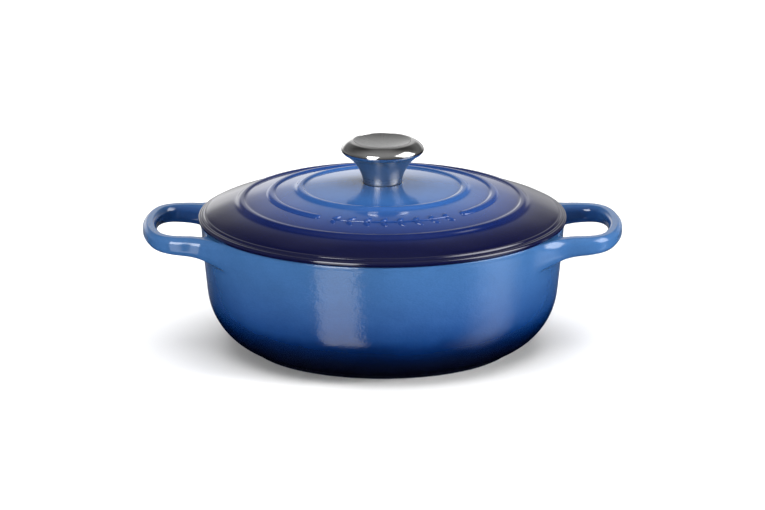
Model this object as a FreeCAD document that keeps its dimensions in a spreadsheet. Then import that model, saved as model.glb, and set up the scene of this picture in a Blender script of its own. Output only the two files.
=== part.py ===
import FreeCAD, Part
import math
import os
from types import SimpleNamespace

import Sketcher
from FreeCAD import Placement, Rotation, Vector

# A round, shallow casserole of enamelled cast iron: a pot with two loop handles cast in
# one piece with it, a domed lid with raised rings, and a hollow steel knob that a screw
# holds to the lid from below.
#
# The frame: +Z up, the origin at the centre of the foot ring on the plane that the pot
# stands on, the handles out along +X and -X, the front at -Y. Millimetres and degrees.

# Driving sizes, one spreadsheet cell each.
SIZES = {
    # pot
    "pot_height": 87.0,
    "rim_radius": 122.9,
    "wall_thickness": 3.9,
    "wall_lean": 3.8,  # degrees from upright at the rim
    "wall_bow_radius": 825.0,  # the wall is slightly barrelled
    "corner_radius": 44.0,
    "corner_sink": 0.6,  # how far the corner arc would run on below the standing plane
    "inner_corner_step": 6.0,  # the inner corner arc is this much tighter
    "floor_thickness": 4.6,
    "foot_height": 1.9,
    "foot_setback": 0.4,
    "foot_width": 16.5,
    "foot_recess": 1.2,
    "foot_edge": 0.6,
    "rim_band_height": 2.6,
    "rim_band_step": 0.4,
    # handles
    "handle_reach": 39.3,  # past the rim
    "handle_half_width": 49.5,
    "handle_corner_radius": 19.0,
    "handle_end_radius": 105.0,
    "handle_arm_width": 12.0,
    "handle_end_width": 10.0,
    "handle_drop": 1.1,  # top of the handle below the rim
    "handle_end_depth": 10.4,
    "handle_root_depth": 13.0,
    "handle_edge_radius": 3.4,
    # lid
    "lid_gap": 0.1,
    "lid_overhang": 1.6,
    "lid_thickness": 3.8,
    "lid_rest_turn": 5.1,  # degrees, the lid stands slightly turned on the pot
    "bead_height": 4.0,
    "bead_setback": 1.7,
    "bead_bulge": 0.9,
    "skirt_steepening": 7.9,  # degrees, from the outer ring to the edge
    "skirt_width": 24.1,
    "dome_radius": 357.0,
    "ring_width": 6.0,
    "ring_rise": 1.4,
    "ring_pitch": 19.9,
    "ring_gap_angle": 82.0,
    "lip_width": 4.0,
    "lip_depth": 5.0,
    "lip_clearance": 0.8,
    "seat_sink": 1.25,
    "seat_margin": 0.45,
    "boss_radius": 15.0,
    "boss_thickness": 6.0,
    "screw_hole_clearance": 0.6,
    # raised sprig in the gap of the middle ring
    "sprig_span": 60.0,  # degrees
    "stem_width": 1.6,
    "leaf_length": 7.4,
    "leaf_width": 3.4,
    "leaf_rise": 1.0,
    # knob
    "gasket_thickness": 0.6,
    "knob_foot_radius": 12.75,
    "knob_neck_height": 20.8,
    "knob_neck_radius": 26.6,
    "knob_stem_hollow": 2.9,
    "knob_brim_height": 24.7,
    "knob_brim_radius": 27.6,
    "knob_brim_bulge": 0.85,
    "knob_height": 29.4,
    "knob_crest_width": 0.6,
    "knob_shoulder_bulge": 0.8,
    "knob_wall": 1.5,
    "cap_radius": 19.4,
    "cap_thickness": 1.3,
    "cap_ledge": 1.0,
    "dish_depth": 2.5,
    "bush_radius": 8.0,
    "bush_height": 12.0,
    "bush_flange_clearance": 0.65,
    "bush_flange_thickness": 2.0,
    # screw and washers
    "screw_radius": 3.0,
    "screw_length": 19.0,
    "thread_clearance": 0.05,
    "head_radius": 6.0,
    "head_height": 3.6,
    "head_crown": 1.0,
    "recess_span": 7.0,
    "recess_width": 1.6,
    "recess_depth": 2.0,
    "washer_radius": 9.0,
    "washer_thickness": 1.2,
    "washer_clearance": 0.25,
    "spring_washer_radius": 5.6,
    "spring_washer_thickness": 1.5,
    "spring_washer_split": 1.2,
}

LEAF_PAIRS = 8
LEAF_SWEEP = 38.0  # degrees, how far a leaf leans along the stem
SUNK = 1.0  # how far an added rib or leaf reaches into the casting below it


class Size:
    """A size: its number now, and the formula over the document's cells that keeps it."""

    def __init__(self, number, formula):
        self.number = number
        self.formula = formula

    def joined(self, sign, other, number):
        return Size(number, "(" + self.formula + " " + sign + " " + other.formula + ")")

    def __add__(self, other):
        other = fixed(other)
        return self.joined("+", other, self.number + other.number)

    def __sub__(self, other):
        other = fixed(other)
        return self.joined("-", other, self.number - other.number)

    def __mul__(self, other):
        other = fixed(other)
        return self.joined("*", other, self.number * other.number)

    def __truediv__(self, other):
        other = fixed(other)
        return self.joined("/", other, self.number / other.number)

    def __neg__(self):
        return Size(-self.number, "(0 - " + self.formula + ")")


def fixed(number):
    """A plain number as a size that no cell drives; a size stays as it is."""
    return number if isinstance(number, Size) else Size(float(number), repr(float(number)))


def root(size):
    return Size(math.sqrt(size.number), "sqrt(" + size.formula + ")")


def sine(size):
    return Size(math.sin(math.radians(size.number)), "sin(" + size.formula + ")")


def cosine(size):
    return Size(math.cos(math.radians(size.number)), "cos(" + size.formula + ")")


def leg(long_side, short_side):
    """The other short side of a right triangle."""
    return root(long_side * long_side - short_side * short_side)


doc = FreeCAD.newDocument("Casserole")
sheet = doc.addObject("Spreadsheet::Sheet", "Sizes")
for row, (name, number) in enumerate(SIZES.items(), start=1):
    sheet.set("A%d" % row, name)
    sheet.set("B%d" % row, str(number))
    sheet.setAlias("B%d" % row, name)
# Places that follow from the driving sizes, one property each.
places = doc.addObject("App::VarSet", "Places")
doc.recompute()

s = SimpleNamespace(**{name: Size(number, "Sizes." + name) for name, number in SIZES.items()})
p = SimpleNamespace()


def place(name, size):
    """Keep a worked-out place under a name of its own."""
    places.addProperty("App::PropertyFloat", name)
    places.setExpression(name, size.formula)
    setattr(p, name, Size(size.number, "Places." + name))


class Outline:
    """A closed sketch on one of a body's planes, drawn corner by corner."""

    def __init__(self, body, name, plane="XZ_Plane", lift=None):
        self.sketch = body.newObject("Sketcher::SketchObject", name)
        origin_plane = [item for item in body.Origin.OriginFeatures if item.Role == plane]
        self.sketch.AttachmentSupport = [(origin_plane[0], "")]
        self.sketch.MapMode = "FlatFace"
        if lift is not None:
            self.sketch.setExpression("AttachmentOffset.Base.z", lift.formula)
        self.corners = []
        self.sides = []

    def start(self, x, y):
        self.corners.append((fixed(x), fixed(y)))
        return self

    def line(self, x, y):
        """A straight side to the corner (x, y)."""
        self.corners.append((fixed(x), fixed(y)))
        self.sides.append(None)
        return self

    def arc(self, x, y, radius, turn="left"):
        """A round side to the corner (x, y), its centre to the left or right on the way."""
        self.corners.append((fixed(x), fixed(y)))
        self.sides.append((radius, turn))
        return self

    def bow(self, x, y, bulge, turn="left"):
        """A round side given by how far it stands out from its chord."""
        x_run = self.corners[-1][0] - x
        y_run = self.corners[-1][1] - y
        run = x_run * x_run + y_run * y_run
        return self.arc(x, y, (run / 4.0 + bulge * bulge) / (bulge * 2.0), turn)

    def close(self):
        """Draw the sides, and hold each corner and radius by its formula."""
        self.sides.append(None)
        ends = self.corners[1:] + self.corners[:1]
        marks = []
        for start, end, side in zip(self.corners, ends, self.sides):
            first = Vector(start[0].number, start[1].number, 0)
            last = Vector(end[0].number, end[1].number, 0)
            if side is None:
                number = self.sketch.addGeometry(Part.LineSegment(first, last), False)
                marks.append((number, 1, 2))
            else:
                number = self.sketch.addGeometry(self.round_side(first, last, *side), False)
                marks.append((number, 1, 2) if side[1] == "left" else (number, 2, 1))
                self.hold("Radius", (number,), side[0])
        for index, (number, first_end, last_end) in enumerate(marks):
            following = marks[(index + 1) % len(marks)]
            self.sketch.addConstraint(
                Sketcher.Constraint("Coincident", number, last_end, following[0], following[1])
            )
            x, y = self.corners[index]
            self.pin("DistanceX", -2, number, first_end, x)
            self.pin("DistanceY", -1, number, first_end, y)
        return self.sketch

    @staticmethod
    def round_side(first, last, radius, turn):
        chord = last - first
        reach = math.sqrt(radius.number**2 - (chord.Length / 2) ** 2)
        way = 1 if turn == "left" else -1
        across = Vector(-chord.y, chord.x, 0).normalize()
        centre = (first + last) * 0.5 + across * reach * way
        circle = Part.Circle(centre, Vector(0, 0, 1), radius.number)
        ends = (first, last) if turn == "left" else (last, first)
        angles = [math.atan2(end.y - centre.y, end.x - centre.x) for end in ends]
        return Part.ArcOfCircle(circle, angles[0], angles[1])

    def hold(self, kind, where, size):
        number = self.sketch.addConstraint(Sketcher.Constraint(kind, *where, size.number))
        self.sketch.setExpression("Constraints[%d]" % number, size.formula)

    def pin(self, kind, axis, number, end, size):
        """Hold one coordinate of a corner, on the axis itself where it is zero."""
        if size.number == 0:
            self.sketch.addConstraint(Sketcher.Constraint("PointOnObject", number, end, axis))
        else:
            self.hold(kind, (-1, 1, number, end), size)


def new_body(name, height=None):
    """A sub-part of its own, standing at the given height in the whole."""
    body = doc.addObject("PartDesign::Body", name)
    body.Label = name
    body.Placement = Placement(Vector(0, 0, 0), Rotation())
    if height is not None:
        body.setExpression("Placement.Base.z", height.formula)
    return body


def feature(body, kind, name, **settings):
    """Add a feature to a body; a Size is bound to its formula."""
    item = body.newObject("PartDesign::" + kind, name)
    for key, setting in settings.items():
        if isinstance(setting, Size):
            item.setExpression(key, setting.formula)
        else:
            setattr(item, key, setting)
    return item


def turned(body, kind, name, sketch, **settings):
    """A revolution or groove about the upright axis of its sketch."""
    axis = (sketch, ["V_Axis"])
    settings.setdefault("Angle", 360.0)
    return feature(body, kind, name, Profile=sketch, ReferenceAxis=axis, **settings)


def origin_item(body, role):
    return [item for item in body.Origin.OriginFeatures if item.Role == role][0]


# --- places that several pieces share ---------------------------------------------------

# The outer wall is an arc about a far centre; the inner wall is concentric with it.
place("wall_centre_x", s.rim_radius - s.wall_bow_radius * cosine(s.wall_lean))
place("wall_centre_z", s.pot_height + s.wall_bow_radius * sine(s.wall_lean))
place("inner_bow_radius", s.wall_bow_radius - s.wall_thickness)


def wall_radius_at(height, bow_radius):
    return p.wall_centre_x + leg(bow_radius, p.wall_centre_z - height)


def corner_centre_x(corner_radius, corner_z, bow_radius):
    return p.wall_centre_x + leg(bow_radius - corner_radius, p.wall_centre_z - corner_z)


# Each corner arc is tangent to its wall arc, on the line through both centres.
place("corner_z", s.corner_radius - s.corner_sink)
place("corner_x", corner_centre_x(s.corner_radius, p.corner_z, s.wall_bow_radius))
place("inner_corner_radius", s.corner_radius - s.inner_corner_step)
place("inner_corner_z", s.floor_thickness + p.inner_corner_radius)
place("inner_corner_x", corner_centre_x(p.inner_corner_radius, p.inner_corner_z, p.inner_bow_radius))


def tangent_point(corner_x, corner_z, corner_radius, bow_radius):
    share = bow_radius / (bow_radius - corner_radius)
    x = p.wall_centre_x + (corner_x - p.wall_centre_x) * share
    z = p.wall_centre_z - (p.wall_centre_z - corner_z) * share
    return x, z


place("foot_top_radius", p.corner_x + leg(s.corner_radius, p.corner_z - s.foot_height))
place("foot_radius", p.foot_top_radius - s.foot_setback)
place("rim_inner_radius", wall_radius_at(s.pot_height, p.inner_bow_radius))

# The lid, measured from the plane of the pot's rim. Its skirt is an arc between the slope
# of the dome at the outer ring and its own slope at the edge.
place("lid_radius", s.rim_radius + s.lid_overhang)
place("skirt_foot_radius", p.lid_radius - s.bead_setback)
place("outer_ring_radius", p.skirt_foot_radius - s.skirt_width)
place("ring_slope_sine", p.outer_ring_radius / s.dome_radius)
place("ring_slope_cosine", leg(fixed(1), p.ring_slope_sine))
place(
    "edge_slope_sine",
    p.ring_slope_sine * cosine(s.skirt_steepening) + p.ring_slope_cosine * sine(s.skirt_steepening),
)
place("skirt_radius", s.skirt_width / (p.edge_slope_sine - p.ring_slope_sine))
place("skirt_centre_x", p.outer_ring_radius - p.skirt_radius * p.ring_slope_sine)
place("skirt_centre_z", s.bead_height - leg(p.skirt_radius, p.skirt_radius * p.edge_slope_sine))
place("ring_foot_z", p.skirt_centre_z + p.skirt_radius * p.ring_slope_cosine)
place("dome_centre_z", p.ring_foot_z - leg(s.dome_radius, p.outer_ring_radius))
place("crown_z", p.dome_centre_z + s.dome_radius)
place("seat_z", p.crown_z - s.seat_sink)
place("seat_radius", s.knob_foot_radius + s.seat_margin)
place("boss_z", p.seat_z - s.boss_thickness)
place("screw_hole_radius", s.screw_radius + s.screw_hole_clearance)
place(
    "ring_bow_radius",
    (s.ring_width * s.ring_width / 4.0 + s.ring_rise * s.ring_rise) / (s.ring_rise * 2.0),
)
place("sprig_radius", p.outer_ring_radius - s.ring_pitch - s.ring_width / 2.0)

# Heights of the pieces above and below the lid.
place("lid_height", s.pot_height + s.lid_gap)
place("knob_base_height", p.lid_height + p.seat_z + s.gasket_thickness)
place("boss_height", p.lid_height + p.boss_z)


def dome_height_at(radius):
    return p.dome_centre_z + leg(s.dome_radius, radius)


# --- pot ----------------------------------------------------------------------------------


def make_pot():
    body = new_body("pot")
    outline = Outline(body, "pot_outside").start(0, s.foot_recess)
    outline.line(p.foot_radius - s.foot_width, s.foot_recess)
    outline.line(p.foot_radius - s.foot_width + s.foot_recess, 0)
    outline.line(p.foot_radius - s.foot_edge, 0)
    outline.line(p.foot_radius, s.foot_edge)
    outline.line(p.foot_radius, s.foot_height)
    outline.line(p.foot_top_radius, s.foot_height)
    x, z = tangent_point(p.corner_x, p.corner_z, s.corner_radius, s.wall_bow_radius)
    outline.arc(x, z, s.corner_radius)
    outline.arc(s.rim_radius, s.pot_height, s.wall_bow_radius)
    outline.line(0, s.pot_height)
    turned(body, "Revolution", "pot_solid", outline.close())

    make_handles(body)

    band_foot = s.pot_height - s.rim_band_height
    inner_edge = s.rim_radius - s.wall_thickness / 2.0
    band = Outline(body, "rim_band_outline").start(inner_edge, band_foot - s.rim_band_step)
    band.line(wall_radius_at(band_foot - s.rim_band_step, s.wall_bow_radius), band_foot - s.rim_band_step)
    band.line(s.rim_radius + s.rim_band_step, band_foot)
    band.line(s.rim_radius + s.rim_band_step, s.pot_height - s.rim_band_step)
    band.line(s.rim_radius, s.pot_height)
    band.line(inner_edge, s.pot_height)
    turned(body, "Revolution", "rim_band", band.close())

    above_rim = s.pot_height + 1.0
    inside = Outline(body, "pot_inside").start(0, s.floor_thickness)
    inside.line(p.inner_corner_x, s.floor_thickness)
    x, z = tangent_point(
        p.inner_corner_x, p.inner_corner_z, p.inner_corner_radius, p.inner_bow_radius
    )
    inside.arc(x, z, p.inner_corner_radius)
    inside.arc(wall_radius_at(above_rim, p.inner_bow_radius), above_rim, p.inner_bow_radius)
    inside.line(0, above_rim)
    return body, turned(body, "Groove", "pot_cavity", inside.close())


def make_handles(body):
    """Both loop handles: a bent bar in plan, its underside rising outwards, its edges round."""
    place("handle_end_x", s.rim_radius + s.handle_reach)
    place("handle_end_centre_x", p.handle_end_x - s.handle_end_radius)
    place("handle_top_z", s.pot_height - s.handle_drop)
    place("handle_root_z", p.handle_top_z - s.handle_root_depth)
    place("handle_inner_half_width", s.handle_half_width - s.handle_arm_width)
    place("handle_inner_end_radius", s.handle_end_radius - s.handle_end_width)
    place("handle_inner_corner_radius", s.handle_corner_radius - s.handle_end_width)
    place(
        "handle_start_x",
        leg(p.rim_inner_radius - s.wall_thickness, s.handle_half_width) - s.wall_thickness,
    )

    plan = Outline(body, "handle_plan", "XY_Plane", lift=p.handle_root_z)
    outer = loop_corners(s.handle_half_width, s.handle_end_radius, s.handle_corner_radius)
    inner = loop_corners(
        p.handle_inner_half_width, p.handle_inner_end_radius, p.handle_inner_corner_radius
    )
    plan.start(p.handle_start_x, -s.handle_half_width)
    plan.line(outer.arm_x, -s.handle_half_width)
    plan.arc(outer.end_x, -outer.end_y, s.handle_corner_radius)
    plan.arc(outer.end_x, outer.end_y, s.handle_end_radius)
    plan.arc(outer.arm_x, s.handle_half_width, s.handle_corner_radius)
    plan.line(p.handle_start_x, s.handle_half_width)
    plan.line(p.handle_start_x, p.handle_inner_half_width)
    plan.line(inner.arm_x, p.handle_inner_half_width)
    plan.arc(inner.end_x, inner.end_y, p.handle_inner_corner_radius, "right")
    plan.arc(inner.end_x, -inner.end_y, p.handle_inner_end_radius, "right")
    plan.arc(inner.arm_x, -p.handle_inner_half_width, p.handle_inner_corner_radius, "right")
    plan.line(p.handle_start_x, -p.handle_inner_half_width)
    pad = feature(body, "Pad", "handle", Profile=plan.close(), Length=s.handle_root_depth)

    side = Outline(body, "handle_underside").start(s.rim_radius, p.handle_root_z)
    beyond = p.handle_end_x + s.handle_end_width
    end_rise = s.handle_root_depth - s.handle_end_depth
    side.line(p.handle_end_x, p.handle_root_z + end_rise)
    side.line(beyond, p.handle_root_z + end_rise)
    side.line(beyond, p.handle_root_z - SUNK)
    side.line(s.rim_radius, p.handle_root_z - SUNK)
    slope = feature(
        body, "Pocket", "handle_slope", Profile=side.close(), Type="ThroughAll", SideType="Symmetric"
    )

    pair = feature(body, "Mirrored", "second_handle", Originals=[pad, slope])
    pair.MirrorPlane = (origin_item(body, "YZ_Plane"), [""])
    body.Tip = pair
    doc.recompute()

    clear_of_pot = s.rim_radius.number + SUNK
    edges = []
    for number, edge in enumerate(pair.Shape.Edges, start=1):
        outside = max(math.hypot(vertex.X, vertex.Y) for vertex in edge.Vertexes) > clear_of_pot
        if outside and edge.BoundBox.ZLength < s.handle_end_depth.number / 2:
            edges.append("Edge%d" % number)
    fillet = feature(body, "Fillet", "handle_edges", Base=(pair, edges), Radius=s.handle_edge_radius)
    body.Tip = fillet


def loop_corners(half_width, end_radius, corner_radius):
    """Where a loop's corner arc meets its arm and its end arc, each tangent."""
    centre_y = half_width - corner_radius
    centre_run = leg(end_radius - corner_radius, centre_y)
    share = end_radius / (end_radius - corner_radius)
    return SimpleNamespace(
        arm_x=p.handle_end_centre_x + centre_run,
        end_x=p.handle_end_centre_x + centre_run * share,
        end_y=centre_y * share,
    )


# --- lid ----------------------------------------------------------------------------------


def make_lid():
    """The lid in its own frame: 0 is the plane of its seat, the sprig faces -Y."""
    body = new_body("lid", p.lid_height)
    body.Placement = Placement(Vector(0, 0, 0), Rotation(Vector(0, 0, 1), 0))
    body.setExpression("Placement.Rotation.Angle", "Sizes.lid_rest_turn")

    lip_radius = wall_radius_at(s.pot_height - s.lip_depth, p.inner_bow_radius) - s.lip_clearance
    place("lip_radius", lip_radius)
    place("lip_inner_radius", p.lip_radius - s.lip_width)
    inner_ring_radius = p.outer_ring_radius - s.ring_pitch * 2.0
    inner_skirt_radius = p.skirt_radius - s.lid_thickness
    inner_dome_radius = s.dome_radius - s.lid_thickness

    outline = Outline(body, "lid_section").start(p.screw_hole_radius, p.boss_z)
    outline.line(s.boss_radius, p.boss_z)
    outline.line(s.boss_radius, p.dome_centre_z + leg(inner_dome_radius, s.boss_radius))
    outline.arc(
        p.outer_ring_radius - s.lid_thickness * p.ring_slope_sine,
        p.ring_foot_z - s.lid_thickness * p.ring_slope_cosine,
        inner_dome_radius,
        "right",
    )
    outline.arc(
        p.lip_inner_radius,
        p.skirt_centre_z + leg(inner_skirt_radius, p.lip_inner_radius - p.skirt_centre_x),
        inner_skirt_radius,
        "right",
    )
    outline.line(p.lip_inner_radius, -s.lip_depth)
    outline.line(p.lip_radius, -s.lip_depth)
    outline.line(p.lip_radius, 0)
    outline.line(p.lid_radius - s.bead_bulge, 0)
    outline.bow(p.lid_radius - s.bead_bulge, s.bead_height - s.bead_bulge, s.bead_bulge)
    outline.line(p.skirt_foot_radius, s.bead_height)
    outline.arc(p.outer_ring_radius, p.ring_foot_z, p.skirt_radius)
    inner_edge = p.outer_ring_radius - s.ring_width
    outline.arc(inner_edge, dome_height_at(inner_edge), p.ring_bow_radius)
    outline.arc(inner_ring_radius, dome_height_at(inner_ring_radius), s.dome_radius)
    inner_edge = inner_ring_radius - s.ring_width
    outline.arc(inner_edge, dome_height_at(inner_edge), p.ring_bow_radius)
    outline.arc(p.seat_radius, dome_height_at(p.seat_radius), s.dome_radius)
    outline.line(p.seat_radius, p.seat_z)
    outline.line(p.screw_hole_radius, p.seat_z)
    turned(body, "Revolution", "lid_casting", outline.close())

    # The middle ring stops short of the sprig on both sides.
    ring = Outline(body, "middle_ring_section", "YZ_Plane")
    middle_radius = p.outer_ring_radius - s.ring_pitch
    inner_edge = middle_radius - s.ring_width
    ring.start(middle_radius - SUNK, dome_height_at(middle_radius) - SUNK)
    ring.line(middle_radius, dome_height_at(middle_radius))
    ring.arc(inner_edge, dome_height_at(inner_edge), p.ring_bow_radius)
    ring.line(inner_edge + SUNK, dome_height_at(inner_edge) - SUNK)
    turned(
        body,
        "Revolution",
        "middle_ring",
        ring.close(),
        Angle=fixed(360) - s.ring_gap_angle,
        Midplane=True,
    )
    return body, make_sprig(body)


def make_sprig(body):
    """A raised stem with paired leaves, lying in the gap of the middle ring."""
    stem = Outline(body, "stem_section", "YZ_Plane")
    half = s.stem_width / 2.0
    top = dome_height_at(p.sprig_radius)
    stem.start(-(p.sprig_radius + half), top - SUNK)
    stem.line(-(p.sprig_radius - half), top - SUNK)
    stem.line(-(p.sprig_radius - half), dome_height_at(p.sprig_radius - half))
    stem.bow(-(p.sprig_radius + half), dome_height_at(p.sprig_radius + half), half, "right")
    turned(body, "Revolution", "stem", stem.close(), Angle=s.sprig_span, Midplane=True)

    # Each row starts at one end of the stem and the pattern runs to the other.
    start_turn = -s.sprig_span.number / 2
    dome_tilt = math.degrees(math.asin(p.sprig_radius.number / s.dome_radius.number))
    for side, name in ((1, "outer_leaf"), (-1, "inner_leaf")):
        leaf = feature(
            body,
            "AdditiveEllipsoid",
            name,
            Radius1=s.leaf_rise,
            Radius2=s.leaf_length / 2.0,
            Radius3=s.leaf_width / 2.0,
        )
        reach = p.sprig_radius + s.leaf_length * (side * math.cos(math.radians(LEAF_SWEEP)) / 2)
        lean = Rotation(Vector(0, 0, 1), side * (LEAF_SWEEP - 90))
        tilt = Rotation(Vector(1, 0, 0), dome_tilt)
        leaf.Placement = Placement(Vector(0, 0, 0), Rotation(Vector(0, 0, 1), start_turn) * tilt * lean)
        leaf.setExpression("Placement.Base.x", (-(reach * sine(s.sprig_span / 2.0))).formula)
        leaf.setExpression("Placement.Base.y", (-(reach * cosine(s.sprig_span / 2.0))).formula)
        leaf.setExpression("Placement.Base.z", dome_height_at(reach).formula)
        row = feature(
            body, "PolarPattern", name + "_row", Originals=[leaf], Occurrences=LEAF_PAIRS, Angle=s.sprig_span
        )
        row.Axis = (origin_item(body, "Z_Axis"), [""])
        body.Tip = row
    return body.Tip


# --- knob ---------------------------------------------------------------------------------


def make_knob_shell():
    """The spun steel shell, in a frame whose 0 is the knob's foot."""
    body = new_body("knob_shell", p.knob_base_height)
    crest_radius = s.cap_radius + s.knob_crest_width
    shell = Outline(body, "shell_section").start(p.screw_hole_radius, 0)
    shell.line(s.knob_foot_radius, 0)
    shell.bow(s.knob_neck_radius, s.knob_neck_height, s.knob_stem_hollow, "right")
    shell.bow(s.knob_brim_radius, s.knob_brim_height, s.knob_brim_bulge)
    shell.bow(crest_radius, s.knob_height, s.knob_shoulder_bulge)
    # the cap's bore, and the ledge that it rests on
    shell.line(s.cap_radius, s.knob_height)
    shell.line(s.cap_radius, s.knob_height - s.cap_thickness)
    shell.line(s.cap_radius - s.cap_ledge, s.knob_height - s.cap_thickness)
    shell.line(s.cap_radius - s.cap_ledge, s.knob_height - s.cap_thickness - s.cap_ledge)
    # the inside of the shell, one wall in from the outside
    shell.line(s.knob_brim_radius - s.knob_wall, s.knob_brim_height - s.knob_wall)
    shell.line(s.knob_neck_radius - s.knob_wall, s.knob_neck_height + s.knob_wall / 2.0)
    shell.bow(s.knob_foot_radius - s.knob_wall, s.knob_wall, s.knob_stem_hollow)
    shell.line(p.screw_hole_radius, s.knob_wall)
    return body, turned(body, "Revolution", "shell", shell.close())


def make_knob_cap():
    """The dished disc that closes the knob."""
    body = new_body("knob_cap", p.knob_base_height)
    foot = s.knob_height - s.cap_thickness
    cap = Outline(body, "cap_section").start(0, foot - s.dish_depth)
    cap.bow(s.cap_radius - s.cap_ledge, foot, s.dish_depth / 4.0)
    cap.line(s.cap_radius, foot)
    cap.line(s.cap_radius, s.knob_height)
    cap.bow(0, s.knob_height - s.dish_depth, s.dish_depth / 4.0, "right")
    return body, turned(body, "Revolution", "cap", cap.close())


def make_knob_bush():
    """The threaded bush inside the knob, welded to the shell's foot."""
    body = new_body("knob_bush", p.knob_base_height)
    bore = s.screw_radius + s.thread_clearance
    top = s.knob_wall + s.bush_height
    bush = Outline(body, "bush_section").start(bore, s.knob_wall)
    flange_radius = s.knob_foot_radius - s.knob_wall - s.bush_flange_clearance
    bush.line(flange_radius, s.knob_wall)
    bush.line(flange_radius, s.knob_wall + s.bush_flange_thickness)
    bush.line(s.bush_radius, s.knob_wall + s.bush_flange_thickness)
    bush.line(s.bush_radius, top - s.knob_wall / 2.0)
    bush.line(s.bush_radius - s.knob_wall / 2.0, top)
    bush.line(bore, top)
    return body, turned(body, "Revolution", "bush", bush.close())


def make_disc(name, height, outer, inner, thickness):
    """A flat ring whose top face is at 0 in its own frame."""
    body = new_body(name, height)
    ring = Outline(body, name + "_section").start(inner, 0)
    ring.line(inner, -thickness)
    ring.line(outer, -thickness)
    ring.line(outer, 0)
    return body, turned(body, "Revolution", name + "_ring", ring.close())


# --- screw --------------------------------------------------------------------------------


def make_screw():
    """A pan head screw, head down; 0 is the plane under its head."""
    washers = s.washer_thickness + s.spring_washer_thickness
    body = new_body("knob_screw", p.boss_height - washers)
    point = s.screw_radius / 4.0
    screw = Outline(body, "screw_section").start(0, -s.head_height)
    screw.bow(s.head_radius, s.head_crown - s.head_height, s.head_crown / 4.0)
    screw.line(s.head_radius, 0)
    screw.line(s.screw_radius, 0)
    screw.line(s.screw_radius, s.screw_length - point)
    screw.line(s.screw_radius - point, s.screw_length)
    screw.line(0, s.screw_length)
    turned(body, "Revolution", "screw", screw.close())

    span = s.recess_span / 2.0
    half = s.recess_width / 2.0
    cross = Outline(body, "driver_recess", "XY_Plane", lift=-s.head_height)
    cross.start(span, -half).line(span, half).line(half, half).line(half, span)
    cross.line(-half, span).line(-half, half).line(-span, half).line(-span, -half)
    cross.line(-half, -half).line(-half, -span).line(half, -span).line(half, -half)
    return body, feature(
        body, "Pocket", "cross_recess", Profile=cross.close(), Length=s.recess_depth, Reversed=True
    )


def make_spring_washer():
    inner = s.screw_radius + s.washer_clearance
    body, ring = make_disc(
        "spring_washer",
        p.boss_height - s.washer_thickness,
        s.spring_washer_radius,
        inner,
        s.spring_washer_thickness,
    )
    half = s.spring_washer_split / 2.0
    gap = Outline(body, "split", "XY_Plane")
    gap.start(s.screw_radius, -half).line(s.spring_washer_radius + SUNK, -half)
    gap.line(s.spring_washer_radius + SUNK, half).line(s.screw_radius, half)
    return body, feature(
        body, "Pocket", "spring_split", Profile=gap.close(), Type="ThroughAll", SideType="Symmetric"
    )


# --- the whole ----------------------------------------------------------------------------

pieces = [
    make_pot(),
    make_lid(),
    make_disc("knob_gasket", p.lid_height + p.seat_z + s.gasket_thickness, s.knob_foot_radius,
              p.screw_hole_radius, s.gasket_thickness),
    make_knob_shell(),
    make_knob_cap(),
    make_knob_bush(),
    make_disc("screw_washer", p.boss_height, s.washer_radius, s.screw_radius + s.washer_clearance,
              s.washer_thickness),
    make_spring_washer(),
    make_screw(),
]
doc.recompute()

for item in doc.Objects:
    if "Invalid" in item.State or "Error" in item.State:
        raise RuntimeError(item.Name + " failed: " + ", ".join(item.State))
for body, last in pieces:
    shape = body.Shape
    if shape.isNull() or not shape.isValid() or len(shape.Solids) != 1:
        raise RuntimeError(body.Label + " is not one valid solid")
    if body.Tip is not last:
        raise RuntimeError(body.Label + " ends before its last feature")

os.makedirs("parts", exist_ok=True)
for body, last in pieces:
    body.Shape.exportStep("parts/" + body.Label + ".step")
    print(body.Label, round(body.Shape.Volume), "mm3")
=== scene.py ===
"""The looks of a round, shallow casserole of enamelled cast iron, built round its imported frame.

The pot with its two loop handles, the domed lid with its raised rings and sprig, and the
hollow steel knob are modelled here; the bush, gasket, washers and screw inside keep their
frame meshes and get a finish. Metres, +Z up, handles along X, the front at -Y.
"""

import logging
import math
from collections.abc import Callable
from dataclasses import dataclass
from enum import Enum
from functools import cached_property

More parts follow.
